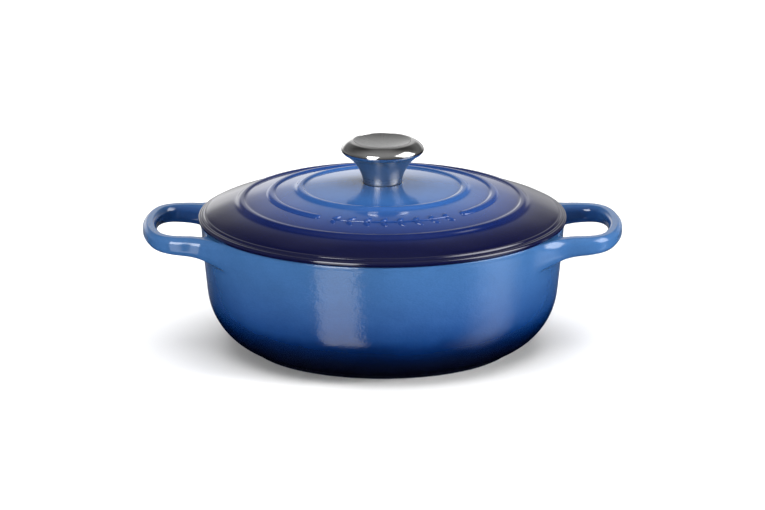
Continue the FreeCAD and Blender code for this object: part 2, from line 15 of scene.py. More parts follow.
import bpy
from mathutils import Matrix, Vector


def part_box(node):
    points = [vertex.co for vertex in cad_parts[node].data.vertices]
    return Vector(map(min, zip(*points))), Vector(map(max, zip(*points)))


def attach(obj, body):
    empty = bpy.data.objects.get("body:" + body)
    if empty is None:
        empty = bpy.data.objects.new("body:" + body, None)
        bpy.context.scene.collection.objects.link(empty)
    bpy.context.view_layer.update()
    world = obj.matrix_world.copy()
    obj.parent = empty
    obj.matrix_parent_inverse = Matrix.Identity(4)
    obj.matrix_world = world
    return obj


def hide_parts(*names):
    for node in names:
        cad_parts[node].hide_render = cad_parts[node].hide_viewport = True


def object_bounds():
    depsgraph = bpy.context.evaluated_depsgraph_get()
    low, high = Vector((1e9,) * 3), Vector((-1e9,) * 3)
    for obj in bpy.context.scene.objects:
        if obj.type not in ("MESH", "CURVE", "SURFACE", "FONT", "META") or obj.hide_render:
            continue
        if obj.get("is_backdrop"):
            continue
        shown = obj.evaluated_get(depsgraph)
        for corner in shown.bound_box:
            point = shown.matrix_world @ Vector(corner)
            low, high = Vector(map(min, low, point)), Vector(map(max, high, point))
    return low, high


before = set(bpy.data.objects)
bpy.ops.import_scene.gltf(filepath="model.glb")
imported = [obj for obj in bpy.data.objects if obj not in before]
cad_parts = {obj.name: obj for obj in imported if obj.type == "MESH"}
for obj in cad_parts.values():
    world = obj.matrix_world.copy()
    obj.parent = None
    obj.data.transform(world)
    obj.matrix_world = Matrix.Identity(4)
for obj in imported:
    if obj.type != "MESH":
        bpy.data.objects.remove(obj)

log = logging.getLogger("casserole")

MM = 0.001
FULL_TURN = 360.0
ORIGIN = Vector((0.0, 0.0, 0.0))
Point = tuple[float, float]  # radius and height, or any two lengths in one plane
Colour = tuple[float, float, float]  # linear red, green and blue


# --- outlines -------------------------------------------------------------------------------


def swell(step: float) -> float:
    """How much larger a control ring has to be for its smoothed surface to meet the circle.

    Args:
        step: the turn between two control points, in degrees.

    Returns:
        The factor for the radius.
    """
    return 3.0 / (2.0 + math.cos(math.radians(step)))


def arc(centre: Point, radius: float, start: float, end: float, count: int) -> list[Point]:
    """Points along a round stretch of an outline.

    Args:
        centre: the middle of the circle.
        radius: its radius.
        start: the first angle, in degrees.
        end: the last angle, in degrees.
        count: how many equal steps the stretch has.

    Returns:
        The points, both ends included.
    """
    step = (end - start) / count
    angles = [math.radians(start + step * number) for number in range(count + 1)]
    reach = radius * swell(step)
    return [(centre[0] + reach * math.cos(a), centre[1] + reach * math.sin(a)) for a in angles]


def bowed(start: Point, end: Point, sag: float, count: int) -> list[Point]:
    """Points along a shallow curve between two corners.

    Args:
        start: the first corner.
        end: the last corner.
        sag: how far the middle stands out to the right of the way from start to end.
        count: how many equal steps the curve has.

    Returns:
        The points, both corners included.
    """
    run, rise = end[0] - start[0], end[1] - start[1]
    length = math.hypot(run, rise)
    points = []
    for number in range(count + 1):
        share = number / count
        out = 4.0 * sag * share * (1.0 - share) / length
        points.append((start[0] + run * share + rise * out, start[1] + rise * share - run * out))
    return points


def near(corner: Point, steps: tuple[Point, ...]) -> list[Point]:
    """Points placed by small steps from one corner of an outline.

    Args:
        corner: the corner they lie by.
        steps: how many millimetres out and up each one lies.

    Returns:
        The points, in the order of the steps.
    """
    return [(corner[0] + out * MM, corner[1] + up * MM) for out, up in steps]


def heading(degrees: float) -> Vector:
    """A step of one metre in plan, turned from +X towards +Y."""
    return Vector((math.cos(math.radians(degrees)), math.sin(math.radians(degrees))))


def clamped(value: float) -> float:
    """A value kept between 0 and 1."""
    return min(1.0, max(0.0, value))


# --- the modelling bench --------------------------------------------------------------------


class Bench:
    """The modelling bench: one mesh at a time, drawn and shaped with the hand tools."""

    MERGE = 0.005 * MM

    @staticmethod
    def clear() -> None:
        """Go back to object mode with nothing selected."""
        if bpy.context.object is not None and bpy.context.object.mode != "OBJECT":
            bpy.ops.object.mode_set(mode="OBJECT")
        bpy.ops.object.select_all(action="DESELECT")

    @staticmethod
    def hold(piece: bpy.types.Object) -> None:
        """Select one piece alone, in object mode.

        Args:
            piece: the piece to work on.
        """
        Bench.clear()
        piece.select_set(True)
        bpy.context.view_layer.objects.active = piece

    @staticmethod
    def edit(piece: bpy.types.Object, whole: bool = True) -> None:
        """Open one piece in edit mode.

        Args:
            piece: the piece to work on.
            whole: select all of it, or keep what its vertices say.
        """
        Bench.hold(piece)
        bpy.context.tool_settings.mesh_select_mode = (True, False, False)
        bpy.ops.object.mode_set(mode="EDIT")
        if whole:
            bpy.ops.mesh.select_all(action="SELECT")

    @staticmethod
    def trace(name: str, points: list[Vector], closed: bool) -> bpy.types.Object:
        """Draw a line from vertex to vertex, and leave it open in edit mode.

        Args:
            name: the piece's name.
            points: the corners of the line.
            closed: whether the last corner joins the first.

        Returns:
            The new piece, all selected.
        """
        Bench.clear()
        bpy.ops.mesh.primitive_plane_add(size=MM, location=ORIGIN)
        piece = bpy.context.object
        piece.name = piece.data.name = name
        Bench.edit(piece)
        bpy.ops.mesh.merge(type="CENTER")
        bpy.ops.transform.translate(value=points[0])
        stops = points + points[:1] if closed else points
        for last, following in zip(stops, stops[1:]):
            bpy.ops.mesh.extrude_vertices_move(TRANSFORM_OT_translate={"value": following - last})
        bpy.ops.mesh.select_all(action="SELECT")
        bpy.ops.mesh.remove_doubles(threshold=Bench.MERGE)
        return piece

    @staticmethod
    def turn(name: str, outline: list[Point], columns: int,
             closed: bool = False) -> bpy.types.Object:
        """Turn an outline right round the upright axis, as on a lathe.

        Args:
            name: the piece's name.
            outline: radius and height of each corner.
            columns: how many columns of faces go round.
            closed: whether the outline's last corner joins its first.

        Returns:
            The turned piece, in object mode.
        """
        grown = swell(FULL_TURN / columns)
        piece = Bench.trace(name, [Vector((r * grown, 0, z)) for r, z in outline], closed)
        Bench.sweep(FULL_TURN, columns)
        Bench.close_up()
        return piece

    @staticmethod
    def sweep(degrees: float, steps: int) -> None:
        """Sweep what is selected about the upright axis, to the left seen from the front.

        Args:
            degrees: how far.
            steps: how many columns of faces the sweep leaves.
        """
        bpy.ops.mesh.spin(steps=steps, angle=math.radians(degrees), center=ORIGIN, axis=(0, 0, -1))

    @staticmethod
    def close_up() -> None:
        """Merge seams and poles, and turn all faces outwards; ends in object mode."""
        bpy.ops.mesh.select_all(action="SELECT")
        bpy.ops.mesh.remove_doubles(threshold=Bench.MERGE)
        bpy.ops.mesh.normals_make_consistent(inside=False)
        bpy.ops.object.mode_set(mode="OBJECT")

    @staticmethod
    def rotate(degrees: float, centre: Vector = ORIGIN, axis: str = "Z") -> None:
        """Turn what is selected by the right-hand rule; the operator itself turns the other way.

        Args:
            degrees: how far.
            centre: the point that stays.
            axis: X, Y or Z.
        """
        angle = -math.radians(degrees)
        bpy.ops.transform.rotate(value=angle, orient_axis=axis, center_override=centre)

    @staticmethod
    def pick(piece: bpy.types.Object, test: Callable[[bpy.types.MeshVertex], bool]) -> None:
        """Select the vertices that pass a test, and open the piece in edit mode.

        Args:
            piece: the piece to work on.
            test: says of a vertex whether it is wanted.
        """
        Bench.edit(piece)
        bpy.ops.mesh.select_all(action="DESELECT")
        bpy.ops.object.mode_set(mode="OBJECT")
        for vertex in piece.data.vertices:
            vertex.select = test(vertex)
        Bench.edit(piece, whole=False)

    @staticmethod
    def join(target: bpy.types.Object, others: list[bpy.types.Object]) -> None:
        """Make the others part of the target's mesh.

        Args:
            target: the piece that stays.
            others: the pieces that become part of it.
        """
        Bench.clear()
        for piece in [target, *others]:
            piece.select_set(True)
        bpy.context.view_layer.objects.active = target
        bpy.ops.object.join()

    @staticmethod
    def smooth(piece: bpy.types.Object, level: int) -> None:
        """Round a piece off with an applied subdivision surface, and shade it smooth.

        Args:
            piece: the piece, its mesh a control cage.
            level: how often it is subdivided.
        """
        Bench.hold(piece)
        if level:
            bpy.ops.object.modifier_add(type="SUBSURF")
            rounding = piece.modifiers[-1]
            rounding.levels = rounding.render_levels = level
            bpy.ops.object.modifier_apply(modifier=rounding.name)
        bpy.ops.object.shade_smooth()

    @staticmethod
    def copy(piece: bpy.types.Object) -> bpy.types.Object:
        """Copy a piece.

        Args:
            piece: the piece to copy.

        Returns:
            The copy, with a mesh of its own.
        """
        Bench.hold(piece)
        bpy.ops.object.duplicate(linked=False)
        return bpy.context.object


# --- finishes -------------------------------------------------------------------------------


class Board:
    """A node tree being wired, with short ways to add and join its nodes."""

    def __init__(self, tree: bpy.types.NodeTree) -> None:
        """Take over a tree and empty it."""
        self.tree = tree
        tree.nodes.clear()

    def add(self, kind: str, settings: dict[str, object] | None = None,
            **inputs: object) -> bpy.types.Node:
        """Add a node, set it up and feed it.

        Args:
            kind: the node's type, without the ShaderNode in front.
            settings: properties of the node itself.
            inputs: a value or another node's output for each input, spaces written as _
                and numbered inputs written as in0, in1.

        Returns:
            The node.
        """
        node = self.tree.nodes.new(kind if kind.startswith("Node") else "ShaderNode" + kind)
        for key, value in (settings or {}).items():
            setattr(node, key, value)
        for key, value in inputs.items():
            numbered = key.startswith("in") and key[2:].isdigit()
            self.feed(node.inputs[int(key[2:]) if numbered else key.replace("_", " ")], value)
        return node

    def feed(self, socket: bpy.types.NodeSocket, value: object) -> None:
        """Set a socket to a value, or link it to an output.

        Args:
            socket: the input to feed.
            value: a plain value, or another node's output.
        """
        if isinstance(value, bpy.types.NodeSocket):
            self.tree.links.new(value, socket)
        else:
            socket.default_value = value

    def math(self, operation: str, *inputs: object) -> bpy.types.NodeSocket:
        """Work out one number from others."""
        numbered = {"in%d" % index: value for index, value in enumerate(inputs)}
        return self.add("Math", {"operation": operation}, **numbered).outputs[0]

    def scale(self, factor: bpy.types.NodeSocket, stops: list[tuple[float, Colour]],
              blend: str) -> bpy.types.NodeSocket:
        """A colour for each value of a factor.

        Args:
            factor: the value, from 0 to 1.
            stops: the place and colour of each stop.
            blend: how the colours run between the stops.

        Returns:
            The colour output.
        """
        node = self.add("ValToRGB", Fac=factor)
        scale = node.color_ramp
        scale.interpolation = blend
        while len(scale.elements) < len(stops):
            scale.elements.new(1.0)
        for element, (place, colour) in zip(scale.elements, stops):
            element.position = place
            element.color = (*colour, 1.0)
        return node.outputs["Color"]

    def levels(self, climb: bpy.types.NodeSocket,
               stops: tuple[tuple[float, float], ...]) -> bpy.types.NodeSocket:
        """A brightness for each elevation.

        Args:
            climb: the elevation, 0 straight down and 1 straight up.
            stops: elevations in degrees with their brightness.

        Returns:
            The brightness output.
        """
        greys = [((degrees + 90.0) / 180.0, (light, light, light)) for degrees, light in stops]
        return self.scale(climb, greys, "LINEAR")

    def span(self, value: bpy.types.NodeSocket, low: float, high: float,
             to_low: float = 0.0, to_high: float = 1.0) -> bpy.types.NodeSocket:
        """Stretch a value's range to another range."""
        return self.add("MapRange", None, Value=value, From_Min=low, From_Max=high,
                        To_Min=to_low, To_Max=to_high).outputs[0]

    def radius(self, parts: bpy.types.Node) -> bpy.types.NodeSocket:
        """The distance from the upright axis, from a place's separate X, Y and Z."""
        flat = self.add("CombineXYZ", None, X=parts.outputs["X"], Y=parts.outputs["Y"])
        return self.add("VectorMath", {"operation": "LENGTH"}, in0=flat.outputs[0]).outputs["Value"]

    def relief(self, shader: bpy.types.Node, height: bpy.types.NodeSocket) -> None:
        """Give a shader fine relief, from a height in metres."""
        bump = self.add("Bump", None, Height=height, Distance=1.0, Strength=1.0)
        self.feed(shader.inputs["Normal"], bump.outputs[0])


def new_group(name: str, inputs: dict[str, str],
              outputs: dict[str, str]) -> tuple[Board, bpy.types.Node, bpy.types.Node]:
    """Start a shader node group.

    Args:
        name: the group's name.
        inputs: each input's name and socket type.
        outputs: each output's name and socket type.

    Returns:
        The board to wire it on, its input node and its output node.
    """
    tree = bpy.data.node_groups.new(name, "ShaderNodeTree")
    for sockets, way in ((inputs, "INPUT"), (outputs, "OUTPUT")):
        for label, kind in sockets.items():
            tree.interface.new_socket(label, in_out=way, socket_type="NodeSocket" + kind)
    board = Board(tree)
    return board, board.add("NodeGroupInput"), board.add("NodeGroupOutput")


def glaze_group() -> bpy.types.NodeTree:
    """The surface of fired enamel: a fine orange peel, slow waves, and a drifting tone.

    Returns:
        The group. Height is in metres over the surface; Tone and Peel run from 0 to 1.
    """
    board, start, end = new_group(
        "glaze",
        {"Vector": "Vector", "Grain": "Float", "Depth": "Float"},
        {"Height": "Float", "Tone": "Float", "Peel": "Float"},
    )
    place, grain = start.outputs["Vector"], start.outputs["Grain"]
    peel = board.add("TexNoise", None, Vector=place, Scale=grain, Detail=2.0, Roughness=0.45)
    slow = board.math("MULTIPLY", grain, 0.22)
    waves = board.add("TexNoise", None, Vector=place, Scale=slow, Detail=1.0, Roughness=0.4)
    drift = board.add("TexNoise", None, Vector=place, Scale=24.0, Detail=3.0, Roughness=0.6)
    # the waves count more than the peel
    both = board.math("MULTIPLY_ADD", waves.outputs[0], 1.6, peel.outputs[0])
    board.feed(end.inputs["Height"], board.math("MULTIPLY", both, start.outputs["Depth"]))
    board.feed(end.inputs["Tone"], board.span(drift.outputs[0], 0.3, 0.7))
    board.feed(end.inputs["Peel"], board.span(peel.outputs[0], 0.25, 0.75))
    return board.tree


def turning_group() -> bpy.types.NodeTree:
    """The marks of a lathe or a brush: fine rings about the upright axis, and fine spokes.

    Returns:
        The group. Rings and Spokes run from 0 to 1.
    """
    board, start, end = new_group(
        "turning_marks",
        {"Vector": "Vector", "Fineness": "Float", "Spoke Count": "Float"},
        {"Rings": "Float", "Spokes": "Float"},
    )
    parts = board.add("SeparateXYZ", None, Vector=start.outputs["Vector"])
    flat = board.add("CombineXYZ", None, X=parts.outputs["X"], Y=parts.outputs["Y"])
    ring_place = board.add("CombineXYZ", None, X=board.radius(parts), Y=parts.outputs["Z"])
    rings = board.add("TexNoise", {"noise_dimensions": "2D"}, Vector=ring_place.outputs[0],
                      Scale=start.outputs["Fineness"], Detail=3.0, Roughness=0.7)
    way = board.add("VectorMath", {"operation": "NORMALIZE"}, in0=flat.outputs[0])
    spokes = board.add("TexNoise", {"noise_dimensions": "2D"}, Vector=way.outputs[0],
                       Scale=start.outputs["Spoke Count"], Detail=3.0, Roughness=0.7)
    board.feed(end.inputs["Rings"], board.span(rings.outputs[0], 0.3, 0.7))
    board.feed(end.inputs["Spokes"], board.span(spokes.outputs[0], 0.3, 0.7))
    return board.tree


class Groups:
    """The shared effects, each built once."""

    def __init__(self) -> None:
        """Build the groups."""
        self.glaze = glaze_group()
        self.turning = turning_group()


class Fade(Enum):
    """What an enamel's colour follows."""

    HEIGHT = "height"
    RADIUS = "radius"


def blank_material(name: str) -> tuple[bpy.types.Material, Board]:
    """Start a material with an empty board.

    Args:
        name: the material's name.

    Returns:
        The material and its board.
    """
    material = bpy.data.materials.new(name)
    material.use_nodes = True
    return material, Board(material.node_tree)


def new_material(name: str) -> tuple[bpy.types.Material, Board, bpy.types.Node]:
    """Start a material with a shader and its output.

    Args:
        name: the material's name.

    Returns:
        The material, its board and its Principled shader.
    """
    material, board = blank_material(name)
    shader = board.add("BsdfPrincipled")
    board.add("OutputMaterial", None, Surface=shader.outputs[0])
    return material, board, shader


@dataclass(frozen=True)
class Enamel:
    """Fired glass enamel whose colour fades along the height or the radius."""

    name: str
    fade: Fade
    near: float  # the height or radius of the first stop, and of the last
    far: float
    stops: tuple[tuple[float, Colour], ...]
    grain: float = 260.0
    depth: float = 0.02 * MM
    roughness: tuple[float, float] = (0.08, 0.16)
    specular: float = 0.5
    tint_drift: float = 0.10

    PEEL_FLOW = (1.0, 1.0, 0.65)  # the peel runs longer sideways than up
    EDGE_WANDER = 0.03  # how far the edge of each shade wanders, as a share of the fade
    MOTTLE = 1.4  # how much stronger the fine mottling is than the slow drift
    HANDLES = (122.0 * MM, 128.0 * MM)  # the coat turns calm from the wall out to the handles
    HANDLE_CALM = 0.2
    LOW_DOWN = (14.0 * MM, 48.0 * MM)  # and down to where it has run together
    LOW_CALM = 0.15
    THIN_COAT = 0.5  # painted shade: inside the handle loops the colour is taken from half the height, which is darker

    def build(self, groups: Groups) -> bpy.types.Material:
        """Wire the finish.

        Args:
            groups: the shared effects.

        Returns:
            The material.
        """
        material, board, shader = new_material(self.name)
        place = board.add("TexCoord").outputs["Object"]
        flow = board.add("Mapping", {"vector_type": "TEXTURE"}, Vector=place, Scale=self.PEEL_FLOW)
        glaze = board.add("Group", {"node_tree": groups.glaze}, Vector=flow.outputs[0],
                          Grain=self.grain, Depth=self.depth)
        parts = board.add("SeparateXYZ", None, Vector=place)
        along = radius = board.radius(parts)
        calm = board.span(radius, *self.HANDLES, 1.0, self.HANDLE_CALM)
        if self.fade is Fade.HEIGHT:
            # painted shade: faces inside the handle loops take the darker colour of a lower height
            unshaded = board.add("Attribute", {"attribute_name": CastPot.LOOP_SHADE_NAME}).outputs["Fac"]
            shade_factor = board.span(unshaded, 0.0, 1.0, self.THIN_COAT, 1.0)
            along = board.math("MULTIPLY", parts.outputs["Z"], shade_factor)
            low = board.span(parts.outputs["Z"], *self.LOW_DOWN, self.LOW_CALM, 1.0)
            calm = board.math("MULTIPLY", calm, low)
        tone, peel = glaze.outputs["Tone"], glaze.outputs["Peel"]
        wander = board.math("MULTIPLY_ADD", tone, self.EDGE_WANDER, -self.EDGE_WANDER / 2)
        share = board.math("ADD", board.span(along, self.near, self.far), wander)
        colour = board.scale(share, list(self.stops), "B_SPLINE" if len(self.stops) > 3 else "EASE")
        mottled = self.tint_drift * self.MOTTLE
        mottle = board.math("MULTIPLY_ADD", peel, mottled, -mottled / 2)
        drift = board.span(tone, 0.0, 1.0, 1.0 - self.tint_drift, 1.0 + self.tint_drift)
        toned = board.add("HueSaturation", None, Color=colour, Value=board.math("ADD", drift, mottle))
        board.feed(shader.inputs["Base Color"], toned.outputs[0])
        board.feed(shader.inputs["Roughness"], board.span(peel, 0.0, 1.0, *self.roughness))
        board.relief(shader, board.math("MULTIPLY", glaze.outputs["Height"], calm))
        shader.inputs["Specular IOR Level"].default_value = self.specular
        return material


@dataclass(frozen=True)
class Steel:
    """Stainless steel with the marks of the wheel that polished it."""

    name: str
    colour: Colour
    roughness: tuple[float, float]
    fineness: float
    spoke_count: float
    spoke_share: float
    depth: float
    contrast: float

    def build(self, groups: Groups) -> bpy.types.Material:
        """Wire the finish.

        Args:
            groups: the shared effects.

        Returns:
            The material.
        """
        material, board, shader = new_material(self.name)
        place = board.add("TexCoord").outputs["Object"]
        marks = board.add("Group", {"node_tree": groups.turning}, Vector=place,
                          Fineness=self.fineness, Spoke_Count=self.spoke_count)
        spokes = board.math("MULTIPLY", marks.outputs["Spokes"], self.spoke_share)
        lines = board.math("MULTIPLY_ADD", marks.outputs["Rings"], 1.0 - self.spoke_share, spokes)
        light = tuple(min(1.0, channel * (1.0 + self.contrast)) for channel in self.colour)
        dark = tuple(channel * (1.0 - self.contrast) for channel in self.colour)
        colour = board.scale(lines, [(0.0, dark), (1.0, light)], "EASE")
        board.feed(shader.inputs["Base Color"], colour)
        board.feed(shader.inputs["Roughness"], board.span(lines, 0.0, 1.0, *self.roughness))
        board.relief(shader, board.math("MULTIPLY", lines, self.depth))
        shader.inputs["Metallic"].default_value = 1.0
        return material


@dataclass(frozen=True)
class Rubber:
    """Dark moulded rubber with a dusty, slightly uneven skin."""

    name: str
    colour: Colour
    dust: float = 0.02
    grain: float = 900.0
    depth: float = 0.01 * MM
    roughness: tuple[float, float] = (0.55, 0.8)

    def build(self, groups: Groups) -> bpy.types.Material:
        """Wire the finish.

        Args:
            groups: the shared effects.

        Returns:
            The material.
        """
        material, board, shader = new_material(self.name)
        place = board.add("TexCoord").outputs["Object"]
        skin = board.add("Group", {"node_tree": groups.glaze}, Vector=place,
                         Grain=self.grain, Depth=self.depth)
        dusty = tuple(channel + self.dust for channel in self.colour)
        colour = board.scale(skin.outputs["Tone"], [(0.0, self.colour), (1.0, dusty)], "EASE")
        board.feed(shader.inputs["Base Color"], colour)
        gloss = board.span(skin.outputs["Peel"], 0.0, 1.0, *self.roughness)
        board.feed(shader.inputs["Roughness"], gloss)
        board.relief(shader, skin.outputs["Height"])
        return material


class Finishes:
    """All the finishes of the casserole, built once."""

    SAND = (0.60, 0.52, 0.40)

    def __init__(self) -> None:
        """Build the shared effects and the materials."""
        groups = Groups()
        self.pot_blue = Enamel(
            "pot_blue_enamel", Fade.HEIGHT, near=0.0, far=87.0 * MM,
            stops=(
                (0.00, (0.0020, 0.0022, 0.0065)),
                (0.15, (0.0015, 0.0025, 0.0090)),
                (0.24, (0.0003, 0.0035, 0.0200)),
                (0.325, (0.0003, 0.0100, 0.0560)),
                (0.40, (0.0045, 0.0290, 0.1150)),
                (0.54, (0.0150, 0.0530, 0.1620)),
                (0.72, (0.0240, 0.0740, 0.1960)),
                (1.00, (0.0310, 0.0940, 0.2240)),
            ),
            grain=600.0, depth=0.12 * MM, tint_drift=0.07,
        ).build(groups)
        self.lid_blue = Enamel(
            "lid_blue_enamel", Fade.RADIUS, near=0.0, far=124.5 * MM,
            stops=(
                (0.00, (0.0290, 0.1000, 0.2750)),
                (0.36, (0.0260, 0.0920, 0.2600)),
                (0.50, (0.0160, 0.0640, 0.2200)),
                (0.62, (0.0090, 0.0360, 0.1650)),
                (0.73, (0.0036, 0.0145, 0.0920)),
                (0.81, (0.0020, 0.0050, 0.0430)),
                (0.87, (0.0017, 0.0023, 0.0245)),
                (1.00, (0.0015, 0.0020, 0.0190)),
            ),
            grain=200.0, depth=0.006 * MM, roughness=(0.07, 0.12), tint_drift=0.05,
        ).build(groups)
        self.sand = Enamel(
            "sand_enamel", Fade.RADIUS, near=0.0, far=120.0 * MM,
            stops=((0.0, self.SAND), (1.0, tuple(channel * 0.93 for channel in self.SAND))),
            grain=240.0, depth=0.02 * MM, roughness=(0.12, 0.22), tint_drift=0.04,
        ).build(groups)
        self.bare_rim = Enamel(
            "matt_rim_enamel", Fade.RADIUS, near=110.0 * MM, far=125.0 * MM,
            stops=((0.0, (0.012, 0.012, 0.014)), (1.0, (0.020, 0.020, 0.024))),
            grain=700.0, depth=0.03 * MM, roughness=(0.42, 0.62), tint_drift=0.25,
        ).build(groups)
        self.base = Enamel(
            "base_enamel", Fade.RADIUS, near=0.0, far=90.0 * MM,
            stops=((0.0, (0.040, 0.044, 0.056)), (1.0, (0.052, 0.058, 0.072))),
            grain=420.0, depth=0.03 * MM, roughness=(0.28, 0.45), tint_drift=0.2,
        ).build(groups)
        self.polished = Steel(
            "polished_steel", (0.60, 0.595, 0.59), roughness=(0.09, 0.14),
            fineness=1600.0, spoke_count=50.0, spoke_share=0.5, depth=0.0003 * MM, contrast=0.04,
        ).build(groups)
        self.satin = Steel(
            "satin_steel", (0.62, 0.615, 0.61), roughness=(0.26, 0.36),
            fineness=1400.0, spoke_count=40.0, spoke_share=0.3, depth=0.0005 * MM, contrast=0.05,
        ).build(groups)
        self.brushed = Steel(
            "brushed_steel", (0.33, 0.329, 0.327), roughness=(0.24, 0.36),
            fineness=1800.0, spoke_count=70.0, spoke_share=0.85, depth=0.006 * MM, contrast=0.22,
        ).build(groups)
        self.turned = Steel(
            "turned_steel", (0.50, 0.50, 0.50), roughness=(0.25, 0.45),
            fineness=3000.0, spoke_count=20.0, spoke_share=0.1, depth=0.006 * MM, contrast=0.12,
        ).build(groups)
        self.rubber = Rubber("gasket_rubber", (0.012, 0.012, 0.013)).build(groups)


class Coat(Enum):
    """The coats on a casting, by their place among its materials."""

    BLUE = 0
    SAND = 1
    MATT = 2
    BASE = 3


# --- the pot --------------------------------------------------------------------------------


@dataclass(frozen=True)
class Station:
    """One section along a handle: its middle in plan, the way it faces, and its size."""

    middle: Vector
    facing: float
    width: float
    top: float
    bottom: float

    @property
    def centre(self) -> Vector:
        """The middle of the section."""
        return Vector((self.middle.x, self.middle.y, (self.top + self.bottom) / 2))

    @property
    def height(self) -> float:
        """How tall the section is."""
        return self.top - self.bottom

    def far_side(self) -> "Station":
        """The same section on the handle's other arm, on the way back to the pot."""
        mirrored = Vector((self.middle.x, -self.middle.y))
        return Station(mirrored, -180.0 - self.facing, self.width, self.top, self.bottom)


@dataclass(frozen=True)
class CastPot:
    """The pot: a turned casting with two loop handles that grow out of its wall."""

    rim_radius: float = 122.9 * MM
    wall: float = 3.9 * MM
    wall_bow: float = 825.0 * MM
    wall_centre: Point = (-700.29 * MM, 141.68 * MM)
    corner_radius: float = 44.0 * MM
    corner_centre: Point = (74.5 * MM, 43.4 * MM)
    inner_corner_radius: float = 38.0 * MM
    inner_corner_centre: Point = (76.5 * MM, 42.6 * MM)
    corner_meets_wall: float = -7.27
    corner_meets_foot: float = -70.6
    floor: float = 4.6 * MM
    foot_radius: float = 88.7 * MM
    foot_height: float = 1.9 * MM
    foot_width: float = 16.5 * MM
    foot_recess: float = 1.2 * MM
    band_step: float = 0.4 * MM
    columns: int = 96
    floor_rows: tuple[float, ...] = (0.0, 0.3, 0.6, 0.85)  # shares of the flat floor's radius
    inside_rows: tuple[float, ...] = (35.0, 28.0, 21.5, 15.0, 9.0, 4.0, 1.0)  # mm below the rim
    band_rows: tuple[float, ...] = (0.7 * MM, 2.3 * MM, 2.95 * MM)  # below the rim
    wall_rows: tuple[float, ...] = (8.5 * MM, 14.0 * MM, 19.5 * MM, 27.0 * MM, 35.0 * MM, 42.0 * MM)
    root_start: float = 15.0  # degrees from the X axis, where a handle's root begins
    root_end: float = 33.75
    root_turn: float = 22.8  # and where its first section stands, just off the wall
    root_stand: float = 1.7 * MM
    half_width: float = 49.5 * MM
    arm_width: float = 12.0 * MM
    end_width: float = 9.2 * MM
    outer_corner: float = 24.0 * MM
    corner_steps: int = 3
    end_radius: float = 105.0 * MM
    handle_drop: float = 0.3 * MM
    root_depth: float = 13.6 * MM
    end_depth: float = 10.4 * MM

    LOOP_SHADE_NAME = "spray"  # the attribute for the painted shade inside the handle loops: 0 in full shade, 1 unshaded

    @cached_property
    def top(self) -> float:
        """The height of the rim."""
        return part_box("pot")[1].z

    @cached_property
    def reach(self) -> float:
        """How far the handles reach from the middle."""
        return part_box("pot")[1].x

    @property
    def handle_top(self) -> float:
        """The height of the handles' flat top."""
        return self.top - self.handle_drop

    @property
    def inner_bow(self) -> float:
        """The radius of the curve that the wall's inside follows."""
        return self.wall_bow - self.wall

    def wall_at(self, height: float, bow: float) -> float:
        """The radius of the wall's curve at a height."""
        return self.wall_centre[0] + math.sqrt(bow**2 - (self.wall_centre[1] - height) ** 2)

    def inside(self) -> list[Point]:
        """The section's inside.

        Returns:
            Radius and height of each corner, from the middle of the floor to the rim.
        """
        points = [(share * self.inner_corner_centre[0], self.floor) for share in self.floor_rows]
        points += arc(self.inner_corner_centre, self.inner_corner_radius, -90.0, self.corner_meets_wall, 8)
        for drop in self.inside_rows:
            height = self.top - drop * MM
            points.append((self.wall_at(height, self.inner_bow), height))
        return points

    def rim(self) -> list[Point]:
        """A narrow flat top with both edges eased, and the proud band below it.

        Returns:
            Radius and height of each corner.
        """
        proud = self.rim_radius + self.band_step
        start, end, low = (self.top - row for row in self.band_rows)
        points = near((self.wall_at(self.top, self.inner_bow), self.top), ((0.15, -0.35), (0.7, 0.0)))
        points += near((self.rim_radius, self.top), ((-1.2, 0.0), (-0.2, -0.02)))
        return [*points, (proud, start), (proud, end), (self.wall_at(low, self.wall_bow), low)]

    def outside(self) -> list[Point]:
        """The section's outside, below the rim's band.

        Returns:
            Radius and height of each corner, down to the foot.
        """
        heights = [self.top - drop for drop in self.wall_rows]
        points = [(self.wall_at(height, self.wall_bow), height) for height in heights]
        return points + arc(self.corner_centre, self.corner_radius, self.corner_meets_wall,
                            self.corner_meets_foot, 7)

    def foot(self) -> list[Point]:
        """The foot ring and the recess inside it.

        Returns:
            Radius and height of each corner, in to the middle.
        """
        step = self.foot_radius - self.foot_width
        recess = self.foot_recess
        points = near((self.foot_radius, self.foot_height), ((0.1, -0.1), (0.0, -0.6)))
        points += near((self.foot_radius, 0.0), ((0.0, 0.65), (-0.5, 0.0), (-3.0, 0.0)))
        points += [(step + 3.0 * MM, 0.0), (step + recess, 0.0)]
        return [*points, (step, recess), (step - 3.0 * MM, recess), (step / 2, recess), (0.0, recess)]

    def section(self) -> list[Vector]:
        """A handle's section one unit wide and one high: a box with its edges cut off.

        Returns:
            Its corners in the YZ plane, right round.
        """
        quarter = [(0.05, 0.5), (0.16, 0.5), (0.27, 0.5), (0.5, 0.27), (0.5, 0.09)]
        right = [*quarter, *[(y, -z) for y, z in reversed(quarter)]]
        left = [(-y, -z) for y, z in right]
        return [Vector((0, y, z)) for y, z in [*right, *left]]

    def underside(self, out: float) -> float:
        """How low a handle reaches, some way out from the middle of the pot."""
        fall = (self.root_depth - self.end_depth) / (self.reach - self.rim_radius)
        return self.handle_top - self.root_depth + fall * (out - self.rim_radius)

    def between(self, outer: Vector, inner: Vector) -> Station:
        """The section between a point of the loop's outer edge and one of its inner edge.

        Args:
            outer: the point of the outer edge.
            inner: the point of the inner edge.

        Returns:
            The section's station.
        """
        across = outer - inner
        middle = (outer + inner) / 2
        facing = math.degrees(math.atan2(across.y, across.x)) - 90.0
        return Station(middle, facing, across.length, self.handle_top, self.underside(middle.x))

